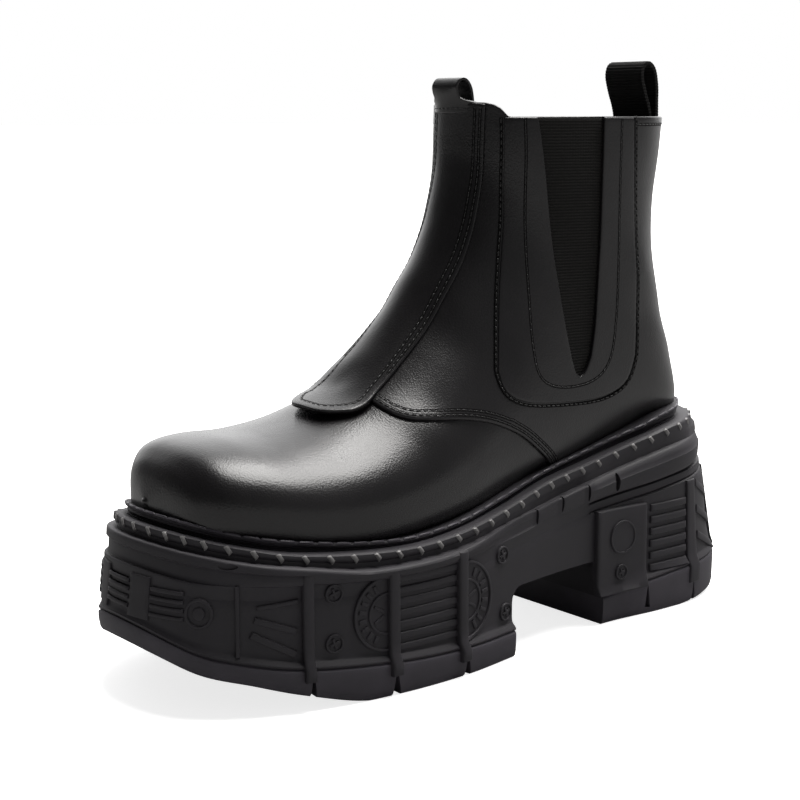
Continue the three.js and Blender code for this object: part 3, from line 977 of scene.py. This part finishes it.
# ---- loops --------------------------------------------------------------------------
def ribbon(name, path, width_at, thickness, across, along, bow=None, ripple=0.0, shift=0.0):
    """A band bent along a side line of y and z."""
    line = curve_through(np.array(path, float), along + 1)
    way = unit(np.gradient(line, axis=0))

    def lay(u, j):
        c = u * 2 - 1
        across_x = c * width_at(line[j, 1], j / along)
        lift = ripple * np.sin(j * math.pi / 2)
        y = line[j, 0] + way[j, 1] * lift
        z = line[j, 1] - way[j, 0] * lift
        if bow is not None:
            y = y + bow(line[j, 1], across_x, j / along)
        return np.column_stack([CENTRE_X + shift + across_x, y, z])

    piece = sheet(name, across, along, lay, close=False)
    finish_with(piece, "SOLIDIFY", thickness=thickness * MM, offset=0)
    round_edges(piece, min(0.5, thickness * 0.3), 3)
    smooth(outside_out(piece), 50)
    return piece


def loop_width(z, share):
    """The outer strand spreads into the front band."""
    return 7.6 + 6.4 * (share < 0.45) * (1 - smooth_step(214.2, 217.6, z)) ** 1.6


def front_bow(z, x, share):
    """The outer strand follows the round of the shaft and flattens as it leaves it."""
    hold = (1 - smooth_step(214, 222, z)) * (share < 0.5)
    return hold * (np.abs(x / 33.5) ** 2.3) * 54


FRONT_LOOP_SHIFT = -1.2
front_loop = ribbon(
    "front_loop",
    [(6, 210.9), (5.9, 213.2), (5.6, 216.2), (5.2, 219), (5.5, 221.7), (7.4, 223.8),
     (10.2, 223.7), (12.4, 221.3), (13.5, 217.5), (14, 212), (14, 204.5)],
    loop_width, 1.2, 24, 76, bow=front_bow, shift=FRONT_LOOP_SHIFT,
)
fix(front_loop, "upper_leather", polished, "front_loop")

back_loop = ribbon(
    "back_loop",
    [(110.4, 197), (109.9, 208), (108.6, 214), (106.2, 220), (104.4, 226.4), (105.4, 230.6),
     (108.6, 231.8), (111.8, 229), (113.4, 222.5), (113.6, 216), (113.8, 209), (114, 204)],
    lambda z, share: np.full(np.shape(z), 10.8), 1.6, 14, 232, ripple=0.1,
)
fix(back_loop, "webbing", loop_weave, "back_loop")


# ---- stitching ----------------------------------------------------------------------
def stitch_model(length, thick):
    """One stitch: a short capsule that dips at both ends."""
    piece = start(
        "cylinder", vertices=6, radius=thick / 2, depth=length * 0.72,
        rotation=(0, math.pi / 2, 0),
    )
    settle()
    shape = edit(piece)
    for end in (-1, 1):
        choose(
            piece, shape.faces,
            lambda face: abs(face.normal.x - end) < 0.01 and len(face.verts) == 6,
        )
        pull((end * length * 0.14, 0, -thick * 0.35))
        bpy.ops.transform.resize(value=(1, 0.45, 0.45))
        shape = bmesh.from_edit_mesh(piece.data)
    done(piece)
    points = corners(piece)
    faces = [tuple(polygon.vertices) for polygon in piece.data.polygons]
    bpy.data.objects.remove(piece)
    return points, faces


def copies(name, model, places, ways, ups):
    """One piece made of a model repeated along rows, each copy turned to its place."""
    points, faces = model
    ways = unit(ways)
    sides = unit(np.cross(ups, ways))
    ups = np.cross(ways, sides)
    laid = (
        places[:, None, :] + points[None, :, :1] * ways[:, None, :]
        + points[None, :, 1:2] * sides[:, None, :] + points[None, :, 2:] * ups[:, None, :]
    )
    count = len(points)
    mesh = bpy.data.meshes.new(name)
    mesh.from_pydata(
        (laid.reshape(-1, 3) * MM).tolist(), [],
        [tuple(v + k * count for v in face) for k in range(len(places)) for face in faces],
    )
    piece = bpy.data.objects.new(name, mesh)
    bpy.context.scene.collection.objects.link(piece)
    return smooth(piece, 60)


STITCH = stitch_model(2.0, 0.56)
STITCH_PITCH = 2.75
STITCH_RISE = -0.04  # of a stitch's middle above its leather
GROOVE_RISE = 0.1
GROOVE_HALF = 0.62
grooves = []
rows = []  # places, ways and outward directions of all the stitches


def lay_groove(line, lift_way, side_way):
    """The narrow sunk track that a row of stitches lies in, a thin sheet darkened with painted
    shade.
    """
    count = len(line) - 1

    def lay(u, j):
        c = u * 2 - 1
        sunk = GROOVE_RISE - 0.1 * (1 - c**2)
        return line[j] + side_way[j] * (c * GROOVE_HALF)[:, None] + lift_way[j] * sunk[:, None]

    grooves.append(sheet("groove", 2, count, lay, close=False))


def sew(place, angle, height):
    """Stitches along a row on the skin, in their track."""
    fine = evenly(np.column_stack([last_form(place, angle), place, angle]), 600)
    line, run = fine[:, :3], np.linalg.norm(np.diff(fine[:, :3], axis=0), axis=1).sum()
    marks = np.arange(STITCH_PITCH / 2, run, STITCH_PITCH) / run * 599
    index = np.arange(600)
    place = np.interp(marks, index, fine[:, 3])
    angle = np.interp(marks, index, fine[:, 4])
    way = np.gradient(line, axis=0)
    way = np.stack([np.interp(marks, index, way[:, k]) for k in range(3)], -1)
    rows.append((skin(place, angle, height(place, angle)), way, outward(place, angle)))
    track = np.linspace(0, 599, max(8, int(run / 2.2))).round().astype(int)
    place, angle = fine[track, 3], fine[track, 4]
    up, bed = outward(place, angle), skin(place, angle, height(place, angle))
    lay_groove(bed, up, np.cross(up, unit(np.gradient(bed, axis=0))))


def mirrored(angle, side):
    return angle if side > 0 else math.pi - angle


WELT_TOP = 66.5
STRIP_MARGINS = {1: 1.5, -1: 3.4}
BAND_Z = 212.6
visible = seam_points[:, 1] > WELT_TOP


def resting_on(lift):
    return lambda place, angle: np.full(np.shape(place), lift + STITCH_RISE)


on_quarter, on_surround = resting_on(QUARTER_LIFT), resting_on(SURROUND_LIFT)
on_strip, on_backstay = resting_on(STRIP_LIFT), resting_on(BACKSTAY_LIFT)
for side in (1, -1):
    for offset in (1.7, 3.7):
        place, angle = beside(seam_place[visible], seam_angle[visible], offset)
        sew(place, mirrored(angle, side), on_quarter)
    place, angle = on_side(surround_edge)
    inner_place, inner_angle = beside(place, angle, -1.2)
    sew(inner_place, mirrored(inner_angle, side), on_surround)
    front_leg = slice(0, len(place) * 5 // 12)
    place, angle = beside(place[front_leg], angle[front_leg], 1.1)
    sew(place, mirrored(angle, side), on_quarter)
    place, angle = on_side(curve_through(INNER_ROW, 140))
    sew(place, mirrored(angle, side), on_surround)
    share = np.linspace(0.09, 0.985, 160)
    place, angle = strip_grid(np.full(160, float(side)), share, STRIP_MARGINS[side])
    sew(place, angle, on_strip)
    place, angle = on_back(np.full(60, side * (BACKSTAY_HALF - 2.0)), np.linspace(92, 203, 60))
    sew(place, angle, on_backstay)
    level_y = np.linspace(79, 108, 30)
    place, angle = on_side(np.column_stack([level_y, np.full(30, 206.2)]))
    sew(place, mirrored(angle, side), on_quarter)

# one row down the strip's outer side, across the tab and up its inner side
leg = np.linspace(0.985, 0.0, 150)
tab_c = np.linspace(1, -1, 60)[1:-1]
path_c = np.concatenate([np.ones(150), tab_c, -np.ones(150)])
path_share = np.concatenate([leg, np.zeros(58), leg[::-1]])
place, angle = strip_grid(path_c, path_share, np.where(path_c < -0.9, 5.2, 3.5))
sew(place, angle, lambda *spot: on_strip(*spot) + tab_lift(*spot))

# across the front band under the loop
band_x = np.linspace(-11.6, 11.6, 10)
band = np.column_stack([
    CENTRE_X + FRONT_LOOP_SHIFT + band_x, 5.33 + front_bow(BAND_Z, band_x, 0), np.full(10, BAND_Z)
])
band_way = unit(np.gradient(band, axis=0))
rows.append((band, band_way, np.cross(band_way, (0.0, 0.0, 1.0))))

# the stitch tracks' near black colour is painted shade
fix(smooth(join("stitch_tracks", grooves), 60), "upper_leather", painted_track_shade)
stitching = copies("stitching", STITCH, *(np.vstack(part) for part in zip(*rows)))
fix(stitching, "upper_leather", thread)


# ---- sole ---------------------------------------------------------------------------
SOLE_ROUND = 420


def lay_rings(rings, fold_rows=3):
    """Rings of the outline from the bottom up, closed below and above on the centre line.
    A ring is a level and its lift, then how far it lies inside."""
    stack = [(rings[0], 1 - k / fold_rows) for k in range(fold_rows)]
    stack += [(ring, 0.0) for ring in rings]
    stack += [(rings[-1], (k + 1) / fold_rows) for k in range(fold_rows)]

    def lay(u, j):
        result = np.zeros((len(u), 3))
        run = u * GIRTH
        for number, ((key, lift, *amounts), fold) in enumerate(stack):
            here = j == number
            point = moved_in(run[here], *amounts)
            partner = moved_in(-run[here], *amounts)
            z = level(key, point[:, 1]) + lift
            other = level(key, partner[:, 1]) + lift
            share = fold / 2
            # the outline's two sides meet half way between a point and its partner
            result[here, :2] = point + (partner - point) * share
            result[here, 2] = z + (other - z) * share
        return result

    return lay, len(stack) - 1


def ring_solid(name, rings, across=SOLE_ROUND):
    lay, along = lay_rings(rings)
    piece = sheet(name, across, along, lay)
    return outside_out(piece)


welt = ring_solid("welt", [
    ("ledge", -3, 13, 3, 12), ("ledge", -0.4, 10.2, 2, 10), ("ledge", 0.6, 9.9, 2, 10),
    ("ledge", 0.9, 10.6, 2, 10), ("ledge", 1.2, 9.9, 2, 10), ("ledge", 1.5, 10.6, 2, 10),
    ("ledge", 1.8, 9.8, 2, 10), ("welt", -1.9, 10.2, 2, 10), ("welt", -1.5, 9.4, 2, 10),
    ("welt", -0.9, 9.0, 2, 10), ("welt", -0.3, 9.3, 2, 10), ("welt", 0, 9.9, 2, 10),
    ("welt", -0.1, 12, 2, 10),
], 840)

midsole = ring_solid("midsole", [
    ("band", -0.4, 4.2, -1.5, -1), ("band", -0.3, 1.2, -0.2, -0.1), ("band", 0.1, 0.6),
    ("band", 0.4, 0.25), ("band", 0.9, 0.1), ("band", 1.4, 0.35), ("band", 2.7, 1.9, -1.1, -0.7),
    ("band", 3.4, 2.4, -1.3, -0.8), ("band", 5, 2.6, -1.3, -0.6), ("band", 12, 2.6, -1, 1),
    ("roll_low", -9, 2.6, -0.4, 3.4), ("roll_low", -5.6, 2.6, 0, 4.6),
    ("roll_low", -5.2, 2.8, 0, 4.7, 0, 0.2), ("roll_low", -4.9, 2.8, 0, 4.7, 0, 1.1),
    ("roll_low", -4.5, 2.8, 0, 4.7, 0, 1.1), ("roll_low", -4.2, 2.8, 0, 4.6, 0, 0.2),
    ("roll_low", -1.4, 2.7, 0.1, 4.8, 0, 0.4), ("roll_low", -0.9, 2.7, 0.1, 5, 0, 1.7),
    ("roll_low", -0.3, 2.6, 0.3, 5.4, 0, 1.8), ("roll_low", 0, 2.2, 1.2, 6.4, -0.2, 1.2, 0.6),
    ("roll_low", 0.2, 1.3, 3.0, 8.2, -0.2, 0.2, 1.7),
    ("roll_low", 0.8, 0.8, 3.8, 8.4, -0.1, 0, 2.4),
    ("roll_low", 2, 0.4, 3.9, 8.1, 0.3, 0, 2.9), (2.5, -0.3, 0.1, 4, 8.1, 0.7, 0, 3.1),
    (2.56, 0, 0.1, 4, 8.1, 0.9, 0, 3.1), (2.6, 0, 0.05, 4, 8.15, 0.6, 0, 3.1),
    (2.63, 0, 0, 4, 8.2, -0.1, 0.3, 3.2), (2.75, 0, 0, 4, 8.4, 0, 0.7, 3.2),
    ("roll_top", -1, 0.1, 4, 8.2, 0, 1.5, 3.1), ("roll_top", -0.4, 0.4, 4, 7.6, 0, 2, 2.9),
    ("roll_top", -0.05, 1.0, 3.9, 7, 0, 2.0, 2.6), ("roll_top", 0, 3.9, 3.2, 6.4),
    ("roll_top", 0.25, 5.2, 3, 5.4, 0, -0.6, -0.4), (3.35, 0, 5.5, 3, 5.8, 0, -0.8, -0.6),
    (3.42, 0, 5.1, 3, 6.4, 0, -0.5, -0.4), (3.48, 0, 4.7, 3, 7, 0, -0.2, -0.1),
    (3.6, 0, 4.45, 3, 7.8),
    ("ledge", -1.4, 4.4, 3, 8.6), ("ledge", -0.6, 4.6, 3, 9), ("ledge", -0.1, 5.3, 3, 9),
    ("ledge", 0.1, 6.4, 3, 9), ("ledge", 0.1, 8, 3, 9),
])


def block(low, high):
    """A plain block used to cut with."""
    low, high = np.array(low, float) * MM, np.array(high, float) * MM
    piece = start("cube", size=1, location=(low + high) / 2, scale=high - low)
    settle()
    return piece


def arch_cutter():
    cutter = block((-90, FOREFOOT_END_Y, -6), (90, HEEL_FRONT_Y, ARCH_ROOF_Z))
    shape = edit(cutter)

    def crosses_the_roof(edge):
        a, b = (corner.co for corner in edge.verts)
        return min(a.z, b.z) > 0.01 and abs(a.x - b.x) > 0.1

    choose(cutter, shape.edges, crosses_the_roof)
    bpy.ops.mesh.bevel(offset=6 * MM, segments=5, affect="EDGES")
    return done(cutter)


carve(midsole, arch_cutter())


def slit(run, low, high, width, depth):
    """A narrow upright slot in the roll on both sides, with round ends."""
    for side in (1, -1):
        point, way = outline(side_run(run, side))
        x, y = inside(point, way, draw(point[1], 0, 4, 8.2))
        cutter = start(
            "cylinder", vertices=16, radius=1, depth=2 * depth * MM,
            rotation=(math.pi / 2, 0, 0),
        )
        bpy.ops.object.transform_apply(location=False, rotation=True, scale=False)
        cutter.scale = (width / 2 * MM, 1, (high - low) / 2 * MM)
        cutter.location = (x * MM, y * MM, (low + high) / 2 * MM)
        cutter.rotation_euler[2] = math.atan2(way[1], way[0])
        settle()
        carve(midsole, cutter)


for run, low, high, depth in (
    (198.5, 49.8, 56.4, 4.4), (214.5, 52.2, 59, 3.6), (230.5, 54, 61, 2.8),
):
    slit(run, low, high, 1.1, depth)
slit(247.8, 55.6, 63.4, 2.6, 3)
slit(52, 53.8, 56, 7, 0.8)


def tread(name, from_y, to_y, notches, grooves):
    """Tread under the forefoot or the heel, cut into lugs."""
    piece = ring_solid(name, [
        ("ground", 0, 1.4), ("ground", 0.8, 0.6), ("ground", 3, 0.15), ("band", -3, 0),
        ("band", -1.2, 0), ("band", -0.7, 0.15), ("band", -0.3, 0.6),
        ("band", 0.1, 1.2, -0.2, -0.1), ("band", 0.2, 4, -1.5, -1),
    ])
    for y, keep_above in ((from_y, True), (to_y, False)):
        edit(piece)
        select()
        bpy.ops.mesh.bisect(
            plane_co=(0, y * MM, 0), plane_no=(0, 1, 0), use_fill=True,
            clear_inner=keep_above, clear_outer=not keep_above,
        )
        done(piece)
    cutters = []
    for run, rise, width in notches:
        for side in (1, -1):
            point, way = outline(side_run(run, side))
            cutter = start(
                "cone", vertices=4, radius1=1, radius2=0.12, depth=10 * MM,
                location=(point[0] * MM, point[1] * MM, (rise - 5) * MM),
            )
            turned = corners(cutter) @ np.array([[1, 1, 0], [-1, 1, 0], [0, 0, 1]]) * (0.5, 0.5, 1)
            place_corners(cutter, turned * (width, 20, 1) * (MM, MM, 1))
            cutter.rotation_euler[2] = math.atan2(way[1], way[0])
            settle()
            cutters.append(cutter)
    for x, y, length, width, angle, rise in grooves:
        cutters.append(start(
            "cube", size=1, location=(x * MM, y * MM, (rise - 7.5) * MM),
            rotation=(0, 0, math.radians(angle)), scale=(length * MM, width * MM, 25 * MM),
        ))
        settle()
    for cutter in cutters:
        carve(piece, cutter)
    return piece


forefoot = tread(
    "forefoot_tread", -160, FOREFOOT_END_Y,
    [(82.6, 14.6, 2.6), (117, 9.6, 4), (152, 8.2, 4.4)],
    [
        (-3, -119, 66, 3.4, 0, 16.5), (-3, -97.5, 84, 3.2, 0, 9.5), (-1, -64.5, 90, 3.8, 0, 4),
        (2, -30, 84, 4, 0, 4), (28, -50, 34, 3.2, 62, 4), (-28, -50, 34, 3.2, -62, 4),
        (30, -16, 30, 3.2, 70, 4), (-24, -16, 30, 3.2, -70, 4), (0, -50, 26, 3.2, 90, 4),
        (0, -80, 22, 3.2, 90, 4), (26, -80, 26, 3.2, 75, 4), (-30, -80, 26, 3.2, -75, 4),
    ],
)
heel = tread(
    "heel_tread", HEEL_FRONT_Y, 160,
    [(265.6, 12.8, 3), (295.5, 9, 3)],
    [
        (0, 82, 68, 3.6, 0, 4), (0, 109, 62, 3.6, 0, 4.5), (0, 68, 20, 3.2, 90, 4),
        (20, 93, 22, 3.2, 65, 4), (-20, 93, 22, 3.2, -65, 4), (0, 126, 36, 3.2, 90, 4),
    ],
)
for piece in (welt, midsole, forefoot, heel):
    smooth(piece, 38)
fix(welt, "sole_rubber", sole_rubber, "welt")
fix(midsole, "sole_rubber", sole_rubber, "midsole")
# the treads take the lighter painted copy of the sole's rubber
fix(forefoot, "sole_rubber", tread_rubber_painted_lighter, "forefoot_outsole")
fix(heel, "sole_rubber", tread_rubber_painted_lighter, "heel_outsole")


# ---- mouldings on the sole's side, made flat and wrapped round ----------------------
mouldings = []
SINK = 1.4  # how far a moulding reaches into the wall


def bar(run0, run1, z0, z1, out=1.0, soft=0.45, angle=0.0):
    """A raised bar with rounded edges. The first axis is the run round the sole."""
    length, width = run1 - run0, z1 - z0
    piece = start(
        "grid", x_subdivisions=max(2, int(math.ceil(length / 2.4))),
        y_subdivisions=max(1, int(math.ceil(width / 4))), size=1,
        location=((run0 + run1) / 2, (z0 + z1) / 2, out), rotation=(0, 0, math.radians(angle)),
    )
    piece.scale = (length, width, 1)
    settle()
    edit(piece)
    select()
    pull((0, 0, -out - SINK))
    face_out()
    soften(piece, out, soft)
    mouldings.append(done(piece))


def soften(piece, top, width):
    """Rounds the edges round the top of a flat moulding that is being edited."""
    def at_the_top(edge):
        level_with_top = all(abs(v.co.z - top) < 1e-4 for v in edge.verts)
        return level_with_top and len(edge.link_faces) == 2 and edge.calc_face_angle() > 0.7

    choose(piece, bmesh.from_edit_mesh(piece.data).edges, at_the_top)
    bpy.ops.mesh.bevel(offset=width, segments=2, affect="EDGES")


def disc(run, z, radius, out=0.8, soft=0.35, hollow=0.0, depth=0.6, vertices=32, keep=None):
    """A raised disc, with a sunk middle where hollow is its radius, or part of one."""
    piece = start(
        "cylinder", vertices=vertices, radius=radius, depth=out + SINK,
        location=(run, z, (out - SINK) / 2),
    )
    settle()
    choose(piece, edit(piece).faces, lambda face: face.normal.z > 0.9)
    if hollow:
        bpy.ops.mesh.inset(thickness=radius - hollow)
        pull((0, 0, -depth))
    soften(piece, out, soft)
    if keep is not None:
        select()
        bpy.ops.mesh.bisect(
            plane_co=(keep[0], 0, 0), plane_no=(1, 0, 0), use_fill=True,
            clear_outer=keep[1] < 0, clear_inner=keep[1] > 0,
        )
    mouldings.append(done(piece))


def screw(run, z, radius=3.6):
    """A round screw head with a cross slot, standing in a ring."""
    disc(run, z, radius, 0.75, 0.3, radius - 0.8, 0.6)
    for angle in (20, 110):
        bar(run - radius * 0.55, run + radius * 0.55, z - 0.5, z + 0.5, 0.75, 0.2, angle)


def spoke(run, z, reach, turn, half, half_width, out, keep, clear):
    """A bar that points away from a wheel's middle, where it is clear of the cut."""
    middle = run + math.cos(math.radians(turn)) * reach
    tall = z + math.sin(math.radians(turn)) * reach
    if (middle - keep[0]) * keep[1] > clear:
        bar(
            middle - half, middle + half, tall - half_width, tall + half_width, out, 0.2,
            math.degrees(math.radians(turn)),
        )


def half_gear(run, z, radius, keep):
    """Part of a toothed wheel: rim, teeth set round it, hub ring and spokes."""
    disc(run, z, radius, 1.0, 0.3, radius - 1.1, 0.75, 64, keep)
    disc(run, z, radius * 0.56, 0.9, 0.25, radius * 0.56 - 0.9, 0.6, 48, keep)
    for number in range(20):
        turn = number * 18 + 9
        spoke(run, z, radius * 0.74, turn, radius * 0.11, 0.75, 0.75, keep, radius * 0.16)
    for number in range(6):
        turn = number * 60 + 30
        spoke(run, z, radius * 0.27, turn, radius * 0.17, 0.55, 0.7, keep, radius * 0.1)


# toe: bars across the front, a slotted window, a bullet and a thin rib
for number in range(4):
    z = 36.5 + number * 3.0
    bar(-7.5, 7, z - 0.75, z + 0.75, 1.0)
    bar(19.5, 35, z - 1.6, z - 0.1, 0.9)
bar(7.8, 19, 33, 48.5, 0.5, 0.4)
disc(41, 38, 5.4, 0.9, 0.3, 4.3, 0.6, 40)
disc(41, 38, 2.3, 0.9, 0.3, 0, 0, 24)
bar(54.2, 55.8, 22.5, 48, 0.9)
bar(62, 77.6, 39.6, 41.2, 0.9, angle=5)
bar(60.6, 77.2, 31.6, 34, 0.9, angle=-19)
bar(58.6, 77.4, 24.6, 27.2, 0.9, angle=-27)
# ribs between the panels
for run0, run1, low, high in (
    (79.0, 83.2, 11.5, 51.6), (114, 118.6, 8, 47.9), (147.4, 152, 6.5, 48.9),
):
    bar(run0, run1, low, high, 2.55, 0.9)
bar(292, 299, 9, 54, 1.1, 0.5)
screw(91.6, 42)
screw(91.6, 23.4)
half_gear(113.6, 31.4, 14.2, (114, -1))
half_gear(152, 29, 15.5, (151.8, 1))
for number in range(7):
    z = 17.5 + number * 4.3
    bar(117.6, 148.2, z - 1.3, z + 1.3, 0.75)
screw(175.2, 42.2)
screw(177.4, 19)
# heel: a plate with a ring, bars, a rib and slanting bars round the back
bar(236, 264.6, 12.6, 48.6, 2.3, 0.9)
disc(250.4, 36, 7.2, 3.0, 0.3, 6.3, 0.4, 48)
disc(249.8, 21, 3.4, 3.1, 0.3, 2.6, 0.5)
for angle in (20, 110):
    bar(248, 251.6, 20.5, 21.5, 3.1, 0.2, angle)
for number in range(6):
    z = 19.6 + number * 5.2
    bar(268, 291, z - 1.5, z + 1.5, 1.1, 0.6)
for number in range(3):
    bar(300.5, 321, 23 + number * 11.5, 26.2 + number * 11.5, 0.7, 0.4, -24)
bar(323.5, 327.5, 20, 56, 0.8, 0.4)
for number in range(3):
    bar(330, 350, 24 + number * 11.5, 27.2 + number * 11.5, 0.7, 0.4, 24)

flat_side = join("side_mouldings", mouldings)
flat_points = corners(flat_side)


def wrap(piece, side):
    run, z, out = flat_points.T
    place_corners(piece, on_wall(side_run(run, side), z, out) * MM)


pick(flat_side)
bpy.ops.object.duplicate()
other_side = bpy.context.object
wrap(flat_side, 1)
wrap(other_side, -1)
edit(other_side)
select()
bpy.ops.mesh.flip_normals()
done(other_side)
side_mouldings = smooth(join("side_mouldings", [flat_side, other_side]), 50)
fix(side_mouldings, "sole_rubber", sole_rubber)

def round_the_sole(name, model, pitch, shift, key, ends, finish):
    """Moulded stitches round the sole. An end is a step along the run, how far inside the
    outline it lies and its lift over the level."""
    count = int(GIRTH / pitch)
    run = np.arange(count) * GIRTH / count + shift
    tips = []
    for step, lift, *amounts in ends:
        tip = moved_in(run + step, *amounts)
        tips.append(np.column_stack([tip, level(key, tip[:, 1]) + lift]))
    first, last = tips
    up = np.tile([0.0, 0.0, 1.0], (count, 1))
    fix(copies(name, model, (first + last) / 2, last - first, up), "sole_rubber", finish)


# across the ledge's rim, and the stitched cord round the welt
# the ledge stitches' light grey colour is a painted highlight
round_the_sole(
    "ledge_stitches", stitch_model(3.6, 1.9), 9.8, 2.6, "ledge",
    [(1.1, -3.0, 4.55, 3, 9), (-1.1, -0.3, 4.75, 3, 9)], painted_stitch_highlight,
)
# the cord's lighter colour is a painted highlight
round_the_sole(
    "welt_stitches", stitch_model(6.8, 1.15), 7.6, 0.0, "welt",
    [(-2.4, -0.25, 9.5, 2, 10), (2.4, -0.25, 9.5, 2, 10)], painted_cord_highlight,
)

# ---- insole -------------------------------------------------------------------------
bpy.ops.object.select_all(action="DESELECT")
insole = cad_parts["insole"].copy()
insole.data = insole.data.copy()
bpy.context.scene.collection.objects.link(insole)
for key in list(insole.keys()):
    del insole[key]
insole.parent = None
insole.name = "insole_cover"
edit(insole)
select()
bpy.ops.mesh.remove_doubles(threshold=1e-5)
bpy.ops.mesh.tris_convert_to_quads()
done(insole)
round_edges(insole, 0.5, 2, 55)
smooth(insole, 50)
fix(insole, "insole_cloth", lining_cloth, "insole")

# ---- floor and light ----------------------------------------------------------------
floor = start("plane", size=60, location=(0, 0, 0))
floor.name = "floor"
floor_paint = Paint("pale_floor", Roughness=0.9, Specular_IOR_Level=0.1)
direct = floor_paint.node("ShaderNodeLightPath", {}, {}).outputs["Is Camera Ray"]
floor_paint.set(
    Base_Color=floor_paint.blend(direct, (FLOOR_BOUNCE,) * 3 + (1,), (0.95, 0.95, 0.95, 1)),
    Emission_Color=floor_paint.blend(direct, (0, 0, 0, 1), (FLOOR_LIFT,) * 3 + (1,)),
)
floor_paint.shader.inputs["Emission Strength"].default_value = 1.0
floor.data.materials.append(floor_paint.material)

world = bpy.data.worlds.new("studio")
bpy.context.scene.world = world
world.use_nodes = True
sky = Nodes(world.node_tree, "Background")
way = sky.node("ShaderNodeTexCoord", {}, {}).outputs["Generated"]


def towards(direction, low, high):
    """1 in a direction of the room, 0 away from it, smooth between."""
    dot = sky.node("ShaderNodeVectorMath", {"operation": "DOT_PRODUCT"}, {0: way, 1: direction})
    return Signal(sky, dot.outputs["Value"]).between(low, high)


glow = AMBIENT + towards((-0.76, 0.6, 0.25), 0.5, 1.0) * BACK_WALL
glow = glow + towards((0.93, 0.33, 0.1), 0.3, 1.0) * SIDE_WALL
seen = sky.node("ShaderNodeLightPath", {}, {}).outputs["Is Camera Ray"]
seen = Signal(sky, seen)
sky.feed(sky.shader.inputs["Color"], (1.0, 1.0, 1.0, 1.0))
sky.feed(sky.shader.inputs["Strength"], glow * (1 - seen) + seen)


# one broad soft light from above, a little behind the boot
turn = Vector((-0.05, 0.36, 0.93)).to_track_quat("Z", "Y").to_euler()
bpy.ops.object.light_add(type="SUN", rotation=turn)
overhead = bpy.context.object
overhead.name = "overhead"
overhead.data.energy = OVERHEAD
overhead.data.angle = math.radians(42)
overhead.data.color = (1, 0.985, 0.965)

scene = bpy.context.scene
scene.view_settings.view_transform = "Standard"
scene.view_settings.look = "None"
scene.view_settings.exposure = 0
scene.view_settings.gamma = 1
